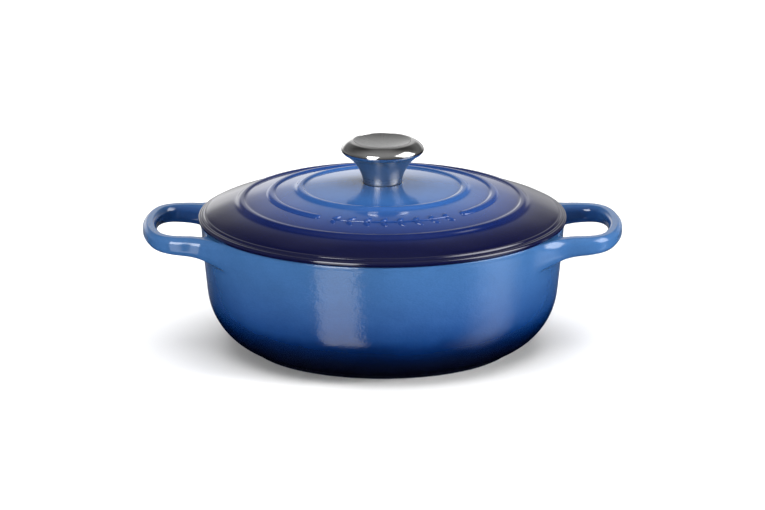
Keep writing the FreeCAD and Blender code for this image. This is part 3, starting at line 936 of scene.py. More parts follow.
    def root(self) -> list[Station]:
        """A handle's root, which spreads out on the wall, most of all downwards and away from the loop.

        Returns:
            The stations from the wall to the start of the arm.
        """
        arm_y = self.half_width - self.arm_width / 2
        foot = heading(self.root_turn) * (self.rim_radius + self.root_stand)
        throat = Vector((self.rim_radius - 1.6 * MM, arm_y + 1.0 * MM))
        arm = Vector((self.rim_radius + 4.6 * MM, arm_y + 0.1 * MM))
        low = self.handle_top - self.root_depth
        return [
            Station(foot, facing=25.9, width=28.6 * MM, top=self.top - 0.75 * MM,
                    bottom=self.top - 18.4 * MM),
            Station(throat, facing=10.0, width=15.6 * MM, top=self.top - 1.0 * MM, bottom=low - 1.6 * MM),
            Station(arm, facing=2.0, width=12.6 * MM, top=self.handle_top,
                    bottom=self.underside(arm.x) - 0.2 * MM),
        ]

    def loop(self) -> list[Station]:
        """One half of a handle's loop: a round corner, and half of its bowed end.

        Returns:
            The stations from the arm to the tip, the tip last.
        """
        middle = Vector((self.reach - self.end_radius, 0.0))
        inner_corner = self.outer_corner - self.end_width
        inner_radius = self.end_radius - self.end_width
        outer_y = self.half_width - self.outer_corner
        outer_run = math.sqrt((self.end_radius - self.outer_corner) ** 2 - outer_y**2)
        outer_centre = middle + Vector((outer_run, outer_y))
        inner_y = self.half_width - self.arm_width - inner_corner
        inner_run = math.sqrt((inner_radius - inner_corner) ** 2 - inner_y**2)
        inner_centre = middle + Vector((inner_run, inner_y))
        turned = math.degrees(math.atan2(outer_y, outer_run))
        step = (90.0 - turned) / self.corner_steps
        half = []
        for number in range(self.corner_steps + 1):
            grown = swell(step) if 0 < number < self.corner_steps else 1.0
            way = heading(90.0 - step * number) * grown
            outer = outer_centre + way * self.outer_corner
            half.append(self.between(outer, inner_centre + way * inner_corner))
        for share in (2 / 3, 1 / 3, 0.0):
            way = heading(turned * share)
            half.append(self.between(middle + way * self.end_radius, middle + way * inner_radius))
        return half

    def stations(self) -> list[Station]:
        """Where a handle's sections stand.

        Returns:
            The stations from one root round the loop to the other.
        """
        half = [*self.root(), *self.loop()]
        return [*half, *[station.far_side() for station in reversed(half[:-1])]]

    def handle(self) -> bpy.types.Object:
        """Draw one section and extrude it round the loop.

        Returns:
            The right handle, both ends open.
        """
        stations = self.stations()
        piece = Bench.trace("handle", self.section(), closed=True)
        now = stations[0]
        bpy.ops.transform.resize(value=(1, now.width, now.height), center_override=ORIGIN)
        Bench.rotate(now.facing)
        bpy.ops.transform.translate(value=now.centre)
        for following in stations[1:]:
            move = {"value": following.centre - now.centre}
            bpy.ops.mesh.extrude_region_move(TRANSFORM_OT_translate=move)
            Bench.rotate(-now.facing, following.centre)
            stretch = (1, following.width / now.width, following.height / now.height)
            bpy.ops.transform.resize(value=stretch, center_override=following.centre)
            Bench.rotate(following.facing, following.centre)
            now = following
        bpy.ops.object.mode_set(mode="OBJECT")
        return piece

    def open_roots(self, pot: bpy.types.Object) -> None:
        """Take away the wall faces where the four roots will grow.

        Args:
            pot: the turned pot.
        """
        high = self.top - self.band_rows[0]
        low = self.top - self.wall_rows[2]
        Bench.edit(pot)
        bpy.ops.mesh.select_all(action="DESELECT")
        bpy.ops.object.mode_set(mode="OBJECT")
        for face in pot.data.polygons:
            middle = face.center
            angle = math.degrees(math.atan2(abs(middle.y), abs(middle.x)))
            outside = math.hypot(middle.x, middle.y) > self.rim_radius - self.wall / 2
            face.select = outside and low < middle.z < high and self.root_start < angle < self.root_end
        bpy.context.tool_settings.mesh_select_mode = (False, False, True)
        bpy.ops.object.mode_set(mode="EDIT")
        bpy.ops.mesh.delete(type="FACE")
        bpy.ops.object.mode_set(mode="OBJECT")

    def grow_roots(self, pot: bpy.types.Object) -> None:
        """Bridge each open handle end to the opening in the wall behind it.

        Args:
            pot: the pot, its openings made and its handles joined to it.
        """
        for x_side, y_side in ((1, 1), (1, -1), (-1, 1), (-1, -1)):
            Bench.edit(pot)
            bpy.ops.mesh.select_all(action="DESELECT")
            bpy.ops.mesh.select_non_manifold(extend=False, use_wire=False, use_multi_face=False,
                                             use_non_contiguous=False, use_verts=False)
            bpy.ops.object.mode_set(mode="OBJECT")
            rims = {vertex.index for vertex in pot.data.vertices if vertex.select
                    and vertex.co.x * x_side > 0 and vertex.co.y * y_side > 0}
            Bench.pick(pot, lambda vertex: vertex.index in rims)
            bpy.ops.mesh.bridge_edge_loops()
            bpy.ops.object.mode_set(mode="OBJECT")

    def coat_of(self, face: bpy.types.MeshPolygon) -> Coat:
        """The coat that a face of the pot wears.

        Args:
            face: the face.

        Returns:
            Its coat: blue outside, sand inside, matt on the rim, dark under the base.
        """
        place, normal = face.center, face.normal
        radius = math.hypot(place.x, place.y)
        inwards = normal.x * place.x + normal.y * place.y < 0
        within = radius < self.wall_at(max(place.z, 2.0 * MM), self.inner_bow) + self.wall / 2
        if place.z > self.top - 0.5 * MM and radius < self.rim_radius + 0.1 * MM and normal.z > 0.3:
            return Coat.MATT
        if place.z < self.foot_recess + 0.3 * MM and normal.z < -0.5:
            return Coat.BASE
        if place.z > self.floor - 0.5 * MM and within and (normal.z > 0.2 or inwards):
            return Coat.SAND
        return Coat.BLUE

    def dress(self, pot: bpy.types.Object, finishes: Finishes) -> None:
        """Give the outside, the inside, the rim and the base their enamels.

        Args:
            pot: the pot's control cage.
            finishes: the finishes to use.
        """
        for material in (finishes.pot_blue, finishes.sand, finishes.bare_rim, finishes.base):
            pot.data.materials.append(material)
        for face in pot.data.polygons:
            face.material_index = self.coat_of(face).value

    def spray(self, pot: bpy.types.Object) -> None:
        """Mark each vertex with how much painted shade it gets: much on the faces inside the handle loops,
        none elsewhere.

        Args:
            pot: the smoothed pot.
        """
        # painted shade: 0 on the loops' inner faces away from the wall, 1 everywhere else
        coat = pot.data.attributes.new(self.LOOP_SHADE_NAME, "FLOAT", "POINT")
        loop_middle = (self.reach + self.rim_radius) / 2
        blend = 3.0 * MM  # how far out from the wall the mark takes to reach its full depth
        for vertex in pot.data.vertices:
            place = vertex.co
            out = Vector((abs(place.x) - loop_middle, place.y))
            side = math.copysign(1.0, place.x)
            facing = (vertex.normal.x * side * out.x + vertex.normal.y * out.y) / max(out.length, MM)
            inward = clamped((-facing - 0.15) / 0.6)
            beyond = clamped((math.hypot(place.x, place.y) - self.rim_radius) / blend)
            coat.data[vertex.index].value = 1.0 - inward * beyond

    def build(self, finishes: Finishes) -> bpy.types.Object:
        """Turn the pot, grow the handles out of it, and dress it.

        Args:
            finishes: the finishes to use.

        Returns:
            The finished pot.
        """
        outline = [*self.inside(), *self.rim(), *self.outside(), *self.foot()]
        pot = Bench.turn("pot_casting", outline, self.columns)
        self.open_roots(pot)
        right = self.handle()
        left = Bench.copy(right)
        Bench.edit(left)
        Bench.rotate(180.0)
        bpy.ops.object.mode_set(mode="OBJECT")
        Bench.join(pot, [right, left])
        self.grow_roots(pot)
        Bench.edit(pot)
        Bench.close_up()
        self.dress(pot, finishes)
        Bench.smooth(pot, 2)
        self.spray(pot)
        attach(pot, "pot")
        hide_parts("pot")
        return pot


# --- the lid --------------------------------------------------------------------------------


@dataclass(frozen=True)
class CastLid:
    """The lid: a domed casting with three raised rings, a rolled edge and a raised sprig."""

    radius: float = 124.5 * MM
    seat: float = 87.1 * MM  # the plane that rests on the pot's rim
    dome_radius: float = 357.0 * MM
    dome_centre: float = -243.2 * MM
    ring_edges: tuple[float, float, float] = (98.7 * MM, 78.8 * MM, 58.9 * MM)
    ring_width: float = 6.0 * MM
    ring_rise: float = 1.4 * MM
    skirt_radius: float = 186.1 * MM
    skirt_centre: Point = (47.2 * MM, -79.0 * MM)
    bead_height: float = 4.0 * MM
    thickness: float = 3.8 * MM
    lip_radius: float = 117.9 * MM
    lip_width: float = 4.0 * MM
    lip_depth: float = 5.0 * MM
    boss_radius: float = 15.0 * MM
    boss_bottom: float = 106.55 * MM
    knob_seat: float = 112.55 * MM
    knob_seat_radius: float = 13.2 * MM
    screw_hole: float = 3.6 * MM
    rest_turn: float = 5.1  # degrees
    ring_gap: float = 82.0  # degrees
    sprig_span: float = 60.0  # degrees
    stem_width: float = 1.6 * MM
    leaf_length: float = 7.4 * MM
    leaf_width: float = 3.4 * MM
    leaf_rise: float = 1.0 * MM
    leaf_bed: float = 0.9 * MM  # how deep its middle lies in the dome
    leaf_lean: float = 38.0  # degrees off the stem
    leaf_pairs: int = 8
    columns: int = 144
    ring_ease: float = 0.4 * MM
    ring_power: float = 0.55  # under 1 gives a ring a flat crest
    ring_allowance: float = 1.08  # what the smoothing takes off a ring's rise
    inner_rows: tuple[float, ...] = (18.0, 25.0, 33.0, 41.0, 47.5)  # mm out from the middle
    outer_rows: tuple[float, ...] = (61.5, 67.0, 72.8, 78.8, 84.5, 89.0)
    skirt_rows: tuple[float, ...] = (101.0, 105.0, 110.0, 115.0, 118.2)
    hollow_skirt_rows: tuple[float, ...] = (109.0, 104.0, 99.0)
    hollow_rows: tuple[float, ...] = (88.0, 75.0, 60.0, 45.0, 30.0, 20.0, 16.4)

    def dome_at(self, radius: float, step: float = 0.0) -> float:
        """The height of the dome at a radius, or of a curve that lies a step below it."""
        return self.dome_centre + math.sqrt((self.dome_radius - step) ** 2 - radius**2)

    def skirt_at(self, radius: float, step: float = 0.0) -> float:
        """The height of the skirt at a radius, or of a curve that lies a step below it."""
        reach = self.skirt_radius - step
        return self.skirt_centre[1] + math.sqrt(reach**2 - (radius - self.skirt_centre[0]) ** 2)

    def ring(self, outer: float) -> list[Point]:
        """A raised ring's section, its feet eased.

        Args:
            outer: the radius of its outer foot.

        Returns:
            Radius and height of each corner, from its inner foot to its outer foot.
        """
        inner = outer - self.ring_width
        before = inner - 3 * self.ring_ease
        points = [(before, self.dome_at(before)), (inner - self.ring_ease / 2, self.dome_at(inner))]
        steps = 8
        for number in range(1, steps):
            share = number / steps
            radius = inner + self.ring_width * share
            rise = self.ring_rise * math.sin(math.pi * share) ** self.ring_power * self.ring_allowance
            points.append((radius, self.dome_at(radius) + rise))
        points.append((outer + self.ring_ease / 2, self.dome_at(outer)))
        return points

    def screw_way(self) -> list[Point]:
        """The screw's hole, the knob's seat round it, and the step up to the dome.

        Returns:
            Radius and height of each corner.
        """
        edge = self.dome_at(self.knob_seat_radius)
        points = near((self.screw_hole, self.boss_bottom), ((0.0, 0.4),))
        points += near((self.screw_hole, self.knob_seat), ((0.0, -0.4), (0.3, 0.0)))
        points += near((self.knob_seat_radius, self.knob_seat), ((-0.3, 0.0), (0.0, 0.3)))
        return points + near((self.knob_seat_radius, edge), ((0.0, -0.3), (0.4, 0.0)))

    def outline(self) -> list[Point]:
        """The lid's section.

        Returns:
            Radius and height of each corner: up the screw's hole, over the dome and back below.
        """
        outer, _, inner = self.ring_edges
        step = outer + 0.5 * MM
        points = self.screw_way()
        points += [(radius * MM, self.dome_at(radius * MM)) for radius in self.inner_rows]
        points += self.ring(inner)
        points += [(radius * MM, self.dome_at(radius * MM)) for radius in self.outer_rows]
        points += [*self.ring(outer)[:-1], (step, self.skirt_at(step))]
        points += [(radius * MM, self.skirt_at(radius * MM)) for radius in self.skirt_rows]
        return [*points, *self.rolled_edge(), *self.lip(), *self.hollow()]

    def rolled_edge(self) -> list[Point]:
        """Two fine ledges at the skirt's foot, and the rolled edge round the lid.

        Returns:
            Radius and height of each corner.
        """
        corner = (self.radius, self.seat + self.bead_height)
        first_ledge = ((-5.30, 1.38), (-4.75, 1.30), (-4.30, 1.22), (-4.00, 0.85), (-3.70, 0.25))
        second_ledge = ((-3.35, -0.08), (-2.85, -0.12), (-2.35, -0.18), (-2.05, -0.42), (-1.75, -0.56))
        roll = ((-1.20, -0.50), (-0.45, -0.80), (0.04, -1.55), (0.22, -2.45), (-0.25, -3.50), (-0.90, -4.15))
        end = near((self.radius, self.seat), ((-1.80, 0.0),))
        return near(corner, (*first_ledge, *second_ledge, *roll)) + end

    def lip(self) -> list[Point]:
        """The seat on the pot's rim, and the lip that goes into the pot.

        Returns:
            Radius and height of each corner.
        """
        inner = self.lip_radius - self.lip_width
        low = self.seat - self.lip_depth
        points = near((self.lip_radius, self.seat), ((1.2, 0.0), (0.2, -0.15), (0.0, -1.0)))
        points += near((self.lip_radius, low), ((0.0, 0.8), (-0.7, 0.0)))
        points += near((inner, low), ((0.8, 0.0), (0.0, 0.8)))
        points += near((inner, self.skirt_at(inner, self.thickness)), ((0.0, -1.2),))
        eased = inner - 1.2 * MM
        return [*points, (eased, self.skirt_at(eased, self.thickness))]

    def hollow(self) -> list[Point]:
        """The hollow under the dome, and the boss round the screw's hole.

        Returns:
            Radius and height of each corner.
        """
        thick = self.thickness
        points = [(radius * MM, self.skirt_at(radius * MM, thick)) for radius in self.hollow_skirt_rows]
        points += [(radius * MM, self.dome_at(radius * MM, thick)) for radius in self.hollow_rows]
        boss_top = self.dome_at(self.boss_radius, thick)
        points += near((self.boss_radius, boss_top), ((0.1, -0.6), (0.0, -1.6)))
        points += near((self.boss_radius, self.boss_bottom), ((0.0, 0.5), (-0.5, 0.0)))
        return points + near((self.screw_hole, self.boss_bottom), ((3.0, 0.0), (0.4, 0.0)))

    def middle_ring(self) -> bpy.types.Object:
        """The ring that stops on both sides of the sprig, with rounded ends.

        Returns:
            The ring as a closed shell, its bed sunk in the dome.
        """
        outer = self.ring_edges[1]
        middle = outer - self.ring_width / 2
        bed = self.dome_at(middle) - 1.0 * MM
        first, *crest, last = self.ring(outer)
        sunk = [(radius, height - 0.06 * MM) for radius, height in (first, last)]
        section = [sunk[0], *crest, sunk[1]]
        section += [(outer - 0.5 * MM, bed), (outer - self.ring_width + 0.5 * MM, bed)]
        ring = Bench.trace("middle_ring", [Vector((r, 0, z)) for r, z in section], closed=True)
        # the ring starts where its gap ends, a little past the front
        Bench.rotate(-90.0 + self.ring_gap / 2 + self.rest_turn)
        Bench.sweep(FULL_TURN - self.ring_gap, self.columns // 2)
        bpy.ops.object.mode_set(mode="OBJECT")
        for way in (1, -1):
            self.round_end(ring, way, middle)
        Bench.edit(ring)
        Bench.close_up()
        Bench.smooth(ring, 1)
        return ring

    def round_end(self, ring: bpy.types.Object, way: int, middle: float) -> None:
        """Draw one open end of the middle ring in to a rounded tip.

        Args:
            ring: the partly turned ring.
            way: 1 for the end right of the sprig, -1 for the end left of it.
            middle: the radius of the ring's own middle line.
        """
        end = heading(-90.0 + self.rest_turn + way * self.ring_gap / 2).to_3d()
        across = Vector((-end.y, end.x, 0))
        Bench.pick(ring, lambda vertex: abs(vertex.co.dot(across)) < 0.2 * MM and vertex.co.dot(end) > 0)
        centre = end * middle + Vector((0, 0, self.dome_at(middle) - 0.3 * MM))
        for reach, share in ((1.2, 0.94), (1.0, 0.80), (0.7, 0.62), (0.35, 0.45)):
            move = across * (-way * reach * MM)
            bpy.ops.mesh.extrude_region_move(TRANSFORM_OT_translate={"value": move})
            centre = centre + move
            bpy.ops.transform.resize(value=(share, share, share), center_override=centre)
        bpy.ops.mesh.merge(type="COLLAPSE")
        bpy.ops.object.mode_set(mode="OBJECT")

    def stem(self) -> bpy.types.Object:
        """The sprig's stem: a thin half-round rib along the middle ring's line.

        Returns:
            The stem, a little longer than the leaves' span at both ends.
        """
        middle = self.ring_edges[1] - self.ring_width / 2
        half = self.stem_width / 2
        base = self.dome_at(middle)
        extra = 1.5  # degrees
        rib = ((-1, -0.5), (-1, 0.1), (-0.6, 0.6), (0, 0.85), (0.6, 0.6), (1, 0.1), (1, -0.5))
        section = [Vector((middle + side * half, 0, base + up * MM)) for side, up in rib]
        stem = Bench.trace("stem", section, closed=True)
        Bench.rotate(-90.0 + self.rest_turn - self.sprig_span / 2 - extra)
        Bench.sweep(self.sprig_span + 2 * extra, 24)
        bpy.ops.mesh.select_all(action="SELECT")
        bpy.ops.mesh.select_non_manifold(extend=False)
        bpy.ops.mesh.edge_face_add()
        Bench.close_up()
        Bench.smooth(stem, 1)
        return stem

    def leaf(self) -> bpy.types.Object:
        """One leaf lying along Y at the origin, pointed at its tip, with a raised midrib.

        Returns:
            The leaf, in object mode.
        """
        Bench.clear()
        bpy.ops.mesh.primitive_uv_sphere_add(segments=12, ring_count=8, radius=1.0, location=ORIGIN)
        leaf = bpy.context.object
        leaf.name = leaf.data.name = "leaf"
        Bench.edit(leaf)
        Bench.rotate(90.0, axis="X")
        # the ball's half sizes, with what the drawn-in tip and the smoothing take off
        size = (self.leaf_width * 0.72, self.leaf_length * 0.58, self.leaf_rise * 1.2 + self.leaf_bed)
        bpy.ops.transform.resize(value=size, center_override=ORIGIN)
        # draw the outer third in to a tip, and lift the line along the middle
        tip = self.leaf_length / 2
        Bench.pick(leaf, lambda vertex: vertex.co.y > tip * 0.3)
        bpy.ops.transform.resize(value=(0.8, 1.0, 0.95), center_override=ORIGIN)
        Bench.pick(leaf, lambda vertex: abs(vertex.co.x) < 0.05 * MM and vertex.co.z > 0.2 * MM)
        bpy.ops.transform.translate(value=(0, 0, 0.2 * MM))
        bpy.ops.object.mode_set(mode="OBJECT")
        Bench.smooth(leaf, 1)
        return leaf

    def set_leaf(self, model: bpy.types.Object, turn: float, side: int) -> bpy.types.Object:
        """Lay a copy of the leaf on the dome, leaning along the stem.

        Args:
            model: the leaf to copy.
            turn: where it stands round the lid, in degrees from +X.
            side: 1 outside the stem, -1 inside it.

        Returns:
            The copy.
        """
        middle = self.ring_edges[1] - self.ring_width / 2
        radius = middle + side * self.leaf_length * math.cos(math.radians(self.leaf_lean)) / 2
        copy = Bench.copy(model)
        Bench.edit(copy)
        Bench.rotate(-side * (90.0 - self.leaf_lean))
        Bench.rotate(math.degrees(math.asin(middle / self.dome_radius)), axis="Y")
        bpy.ops.transform.translate(value=(radius, 0, self.dome_at(radius) - self.leaf_bed))
        Bench.rotate(turn)
        bpy.ops.object.mode_set(mode="OBJECT")
        return copy

    def sprig(self) -> list[bpy.types.Object]:
        """The stem and its pairs of leaves.

        Returns:
            The stem and the leaves, each a closed shell.
        """
        model = self.leaf()
        parts = [self.stem()]
        for number in range(self.leaf_pairs):
            share = number / (self.leaf_pairs - 1) - 0.5
            turn = -90.0 + self.rest_turn + share * self.sprig_span
            parts += [self.set_leaf(model, turn, side) for side in (1, -1)]
        bpy.data.objects.remove(model)
        return parts

    def coat_of(self, face: bpy.types.MeshPolygon) -> Coat:
        """The coat that a face of the lid wears.

        Args:
            face: the face.

        Returns:
            Its coat: blue above, sand below, matt on the seat.
        """
        place = face.center
        radius = math.hypot(place.x, place.y)
        under = radius <= self.lip_radius and (place.z < self.seat or face.normal.z < -0.2)
        in_hole = radius < self.boss_radius + 1.0 * MM and place.z < self.knob_seat - 1.0 * MM
        if self.lip_radius < radius < self.radius - 0.9 * MM and place.z < self.seat + 0.1 * MM:
            return Coat.MATT
        return Coat.SAND if under or in_hole else Coat.BLUE

    def dress(self, lid: bpy.types.Object, finishes: Finishes) -> None:
        """Give the outside, the underside and the seat their enamels.

        Args:
            lid: the lid's control cage.
            finishes: the finishes to use.
        """
        for material in (finishes.lid_blue, finishes.sand, finishes.bare_rim):
            lid.data.materials.append(material)
        for face in lid.data.polygons:
            face.material_index = self.coat_of(face).value

    def build(self, finishes: Finishes) -> bpy.types.Object:
        """Turn the lid, set the ring and the sprig on it, and dress it.

        Args:
            finishes: the finishes to use.

        Returns:
            The finished lid.
        """
        lid = Bench.turn("lid_casting", self.outline(), self.columns, closed=True)
        self.dress(lid, finishes)
        Bench.smooth(lid, 1)
        raised = [self.middle_ring(), *self.sprig()]
        for part in raised:
            part.data.materials.append(finishes.lid_blue)
        Bench.join(lid, raised)
        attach(lid, "lid")
        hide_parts("lid")
        return lid


# --- the knob -------------------------------------------------------------------------------


@dataclass(frozen=True)
class SteelKnob:
    """The knob: a spun shell that flares out to a brim, closed by a dished cap."""

    foot_radius: float = 12.75 * MM
    neck: Point = (26.6 * MM, 20.8 * MM)
    neck_hollow: float = 2.9 * MM
    brim: Point = (27.6 * MM, 24.7 * MM)
    brim_bulge: float = 0.85 * MM
    crest: Point = (20.0 * MM, 29.4 * MM)
    shoulder_bulge: float = 0.8 * MM
    wall: float = 1.5 * MM
    cap_radius: float = 19.4 * MM
    cap_thickness: float = 1.3 * MM
    ledge: float = 1.0 * MM
    dish_depth: float = 2.5 * MM
    hole: float = 3.6 * MM
    columns: int = 64

    def shell_outline(self) -> list[Point]:
        """The shell's section.

        Returns:
            Radius and height of each corner, up the outside and back down the inside.
        """
        crest = self.crest[1]
        ledge = crest - self.cap_thickness
        foot = (self.foot_radius, 0.0)
        # the foot is raised a hair off the gasket
        points = [(self.hole, 0.03 * MM), *near(foot, ((-1.0, 0.03), (-0.125, 0.03), (0.0625, 0.25)))]
        points += bowed(foot, self.neck, -self.neck_hollow, 12)[1:-1]
        points += near(self.neck, ((-0.25, -0.35), (0.05, 0.25)))
        points += bowed(self.neck, self.brim, self.brim_bulge, 4)[1:]
        points += bowed(self.brim, self.crest, self.shoulder_bulge, 6)[1:-1]
        points += near(self.crest, ((0.35, -0.16), (0.0, 0.0)))
        # the ledge that the cap lies on
        points += near((self.cap_radius, crest), ((0.2, 0.0), (0.0, -0.2)))
        points += near((self.cap_radius, ledge), ((0.0, 0.1), (-0.1, 0.0)))
        inner = self.cap_radius - self.ledge
        points += [*near((inner, ledge), ((0.1, 0.0), (0.0, -0.1))), (inner, ledge - self.ledge)]
        # the hollow inside the brim and the stem
        brim = (self.brim[0] - self.wall, self.brim[1] - self.wall)
        points += near(brim, ((-0.4, 0.0), (0.0, -0.5)))
        inside_neck = (self.neck[0] - self.wall, self.neck[1] + self.wall / 2)
        inside_foot = (self.foot_radius - self.wall, self.wall)
        points += bowed(inside_neck, inside_foot, self.neck_hollow, 8)
        return [*points, *near(inside_foot, ((-0.4, 0.0),)), (self.hole, self.wall)]

    def cap_outline(self) -> list[Point]:
        """The cap's section: a dish with a fine raised edge.

        Returns:
            Radius and height of each corner, from the middle below to the middle above.
        """
        crest = self.crest[1]
        edge = self.cap_radius - 0.06 * MM  # clear of the shell
        foot = crest - self.cap_thickness + 0.02 * MM
        sag = self.dish_depth / 4
        middle = crest - self.dish_depth
        points = bowed((0.0, middle - self.cap_thickness), (edge - self.ledge, foot), sag, 7)
        points += near((edge, foot), ((-0.1, 0.0), (0.0, 0.1)))
        points += near((edge, crest), ((0.0, -0.25), (-0.15, -0.05), (-0.7, -0.06)))
        return points + bowed(near((edge, crest), ((-1.2, -0.22),))[0], (0.0, middle), -sag, 9)

    def build(self, finishes: Finishes) -> list[bpy.types.Object]:
        """Spin the shell and press the cap.

        Args:
            finishes: the finishes to use.

        Returns:
            The shell and the cap.
        """
        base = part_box("knob_shell")[0].z
        shell = Bench.turn("knob_shell_spun", [(r, z + base) for r, z in self.shell_outline()],
                           self.columns, closed=True)
        cap = Bench.turn("knob_cap_pressed", [(r, z + base) for r, z in self.cap_outline()], self.columns)
        heads = ((shell, finishes.polished, "knob_shell"), (cap, finishes.brushed, "knob_cap"))
        for piece, material, node in heads:
            piece.data.materials.append(material)
            piece.data.materials.append(finishes.satin)
            # the flared stem is left satin, the head is polished
            for face in piece.data.polygons:
                face.material_index = int(face.center.z < base + self.neck[1] - 0.5 * MM)
            Bench.smooth(piece, 2)
            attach(piece, "knob")
            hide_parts(node)
        return [shell, cap]


@dataclass(frozen=True)
class Fittings:
    """The small pieces that hold the knob to the lid, which keep their frame meshes."""

    steel_nodes: tuple[str, ...] = ("knob_bush", "screw_washer", "spring_washer", "knob_screw")
    rubber_nodes: tuple[str, ...] = ("knob_gasket",)

    def build(self, finishes: Finishes) -> list[bpy.types.Object]:
        """Give each fitting its finish.

        Args:
            finishes: the finishes to use.

        Returns:
            The fittings.
        """
        dressed = []
        for nodes, material in ((self.steel_nodes, finishes.turned), (self.rubber_nodes, finishes.rubber)):
            for name in nodes:
                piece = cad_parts[name]
                if not piece.material_slots:
                    piece.data.materials.append(material)
                for slot in piece.material_slots:
                    slot.material = material
                dressed.append(piece)
        return dressed


# --- the studio -----------------------------------------------------------------------------


def way_to(azimuth: float, elevation: float) -> Vector:
    """The way from the object to a light or a camera.

    Args:
        azimuth: degrees from the camera's side, positive to the right.
        elevation: degrees above the floor.

    Returns:
        A step of one metre.
    """
    across, up = math.radians(azimuth), math.radians(elevation)
    return Vector((math.sin(across) * math.cos(up), -math.cos(across) * math.cos(up), math.sin(up)))


def face_back(thing: bpy.types.Object, way: Vector) -> None:
    """Turn a light, a card or a camera so that it faces the object.

    Args:
        thing: what to turn.
        way: the way from the object to it.
    """
    thing.rotation_mode = "QUATERNION"
    thing.rotation_quaternion = way.to_track_quat("Z", "Y")


def only_for_gloss(piece: bpy.types.Object) -> None:
    """Hide a card from everything but gloss, and put it on the stage.

    Args:
        piece: the card.
    """
    piece.visible_camera = False
    piece.visible_diffuse = False
    piece.visible_shadow = False
    piece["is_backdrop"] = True


@dataclass(frozen=True)
class Card:
    """A glowing card that only shows in gloss: where it stands round the object, and its size."""

    name: str
    azimuth: float  # degrees from the camera's side, positive to the right
    elevation: float
    wide: float  # degrees
    tall: float
    strength: float
    feather: float  # how much of its width fades out at each edge
    tint: Colour = (1.0, 1.0, 1.0)
    distance: float = 4.0

    def build(self, centre: Vector) -> None:
        """Set the card up, facing the object.

        Args:
            centre: the middle of the object.
        """
        way = way_to(self.azimuth, self.elevation)
        Bench.clear()
        bpy.ops.mesh.primitive_plane_add(size=1.0, location=ORIGIN)
        card = bpy.context.object
        card.name = self.name
        wide, tall = (2 * self.distance * math.tan(math.radians(angle / 2))
                      for angle in (self.wide, self.tall))
        card.scale = (wide, tall, 1.0)
        card.location = centre + way * self.distance
        face_back(card, way)
        material, board = blank_material(self.name)
        parts = board.add("SeparateXYZ", None, Vector=board.add("TexCoord").outputs["Object"])
        fades = [board.span(board.math("ABSOLUTE", parts.outputs[axis]), 0.5 - self.feather, 0.5, 1.0, 0.0)
                 for axis in ("X", "Y")]
        light = board.math("MULTIPLY", board.math("MULTIPLY", *fades), self.strength)
        glow = board.add("Emission", None, Color=(*self.tint, 1.0), Strength=light)
        board.add("OutputMaterial", None, Surface=glow.outputs[0])
        card.data.materials.append(material)
        only_for_gloss(card)


@dataclass(frozen=True)
class Sun:
    """A broad soft light from far away that gives no gloss."""

    name: str
    azimuth: float  # degrees from the camera's side, positive to the right
    elevation: float
    strength: float
    softness: float  # how wide it looks, in degrees

    def build(self) -> None:
        """Hang the light."""
        light = bpy.data.lights.new(self.name, "SUN")
        light.energy = self.strength
        light.angle = math.radians(self.softness)
        lamp = bpy.data.objects.new(self.name, light)
        bpy.context.scene.collection.objects.link(lamp)
        face_back(lamp, way_to(self.azimuth, self.elevation))
        lamp.visible_glossy = False


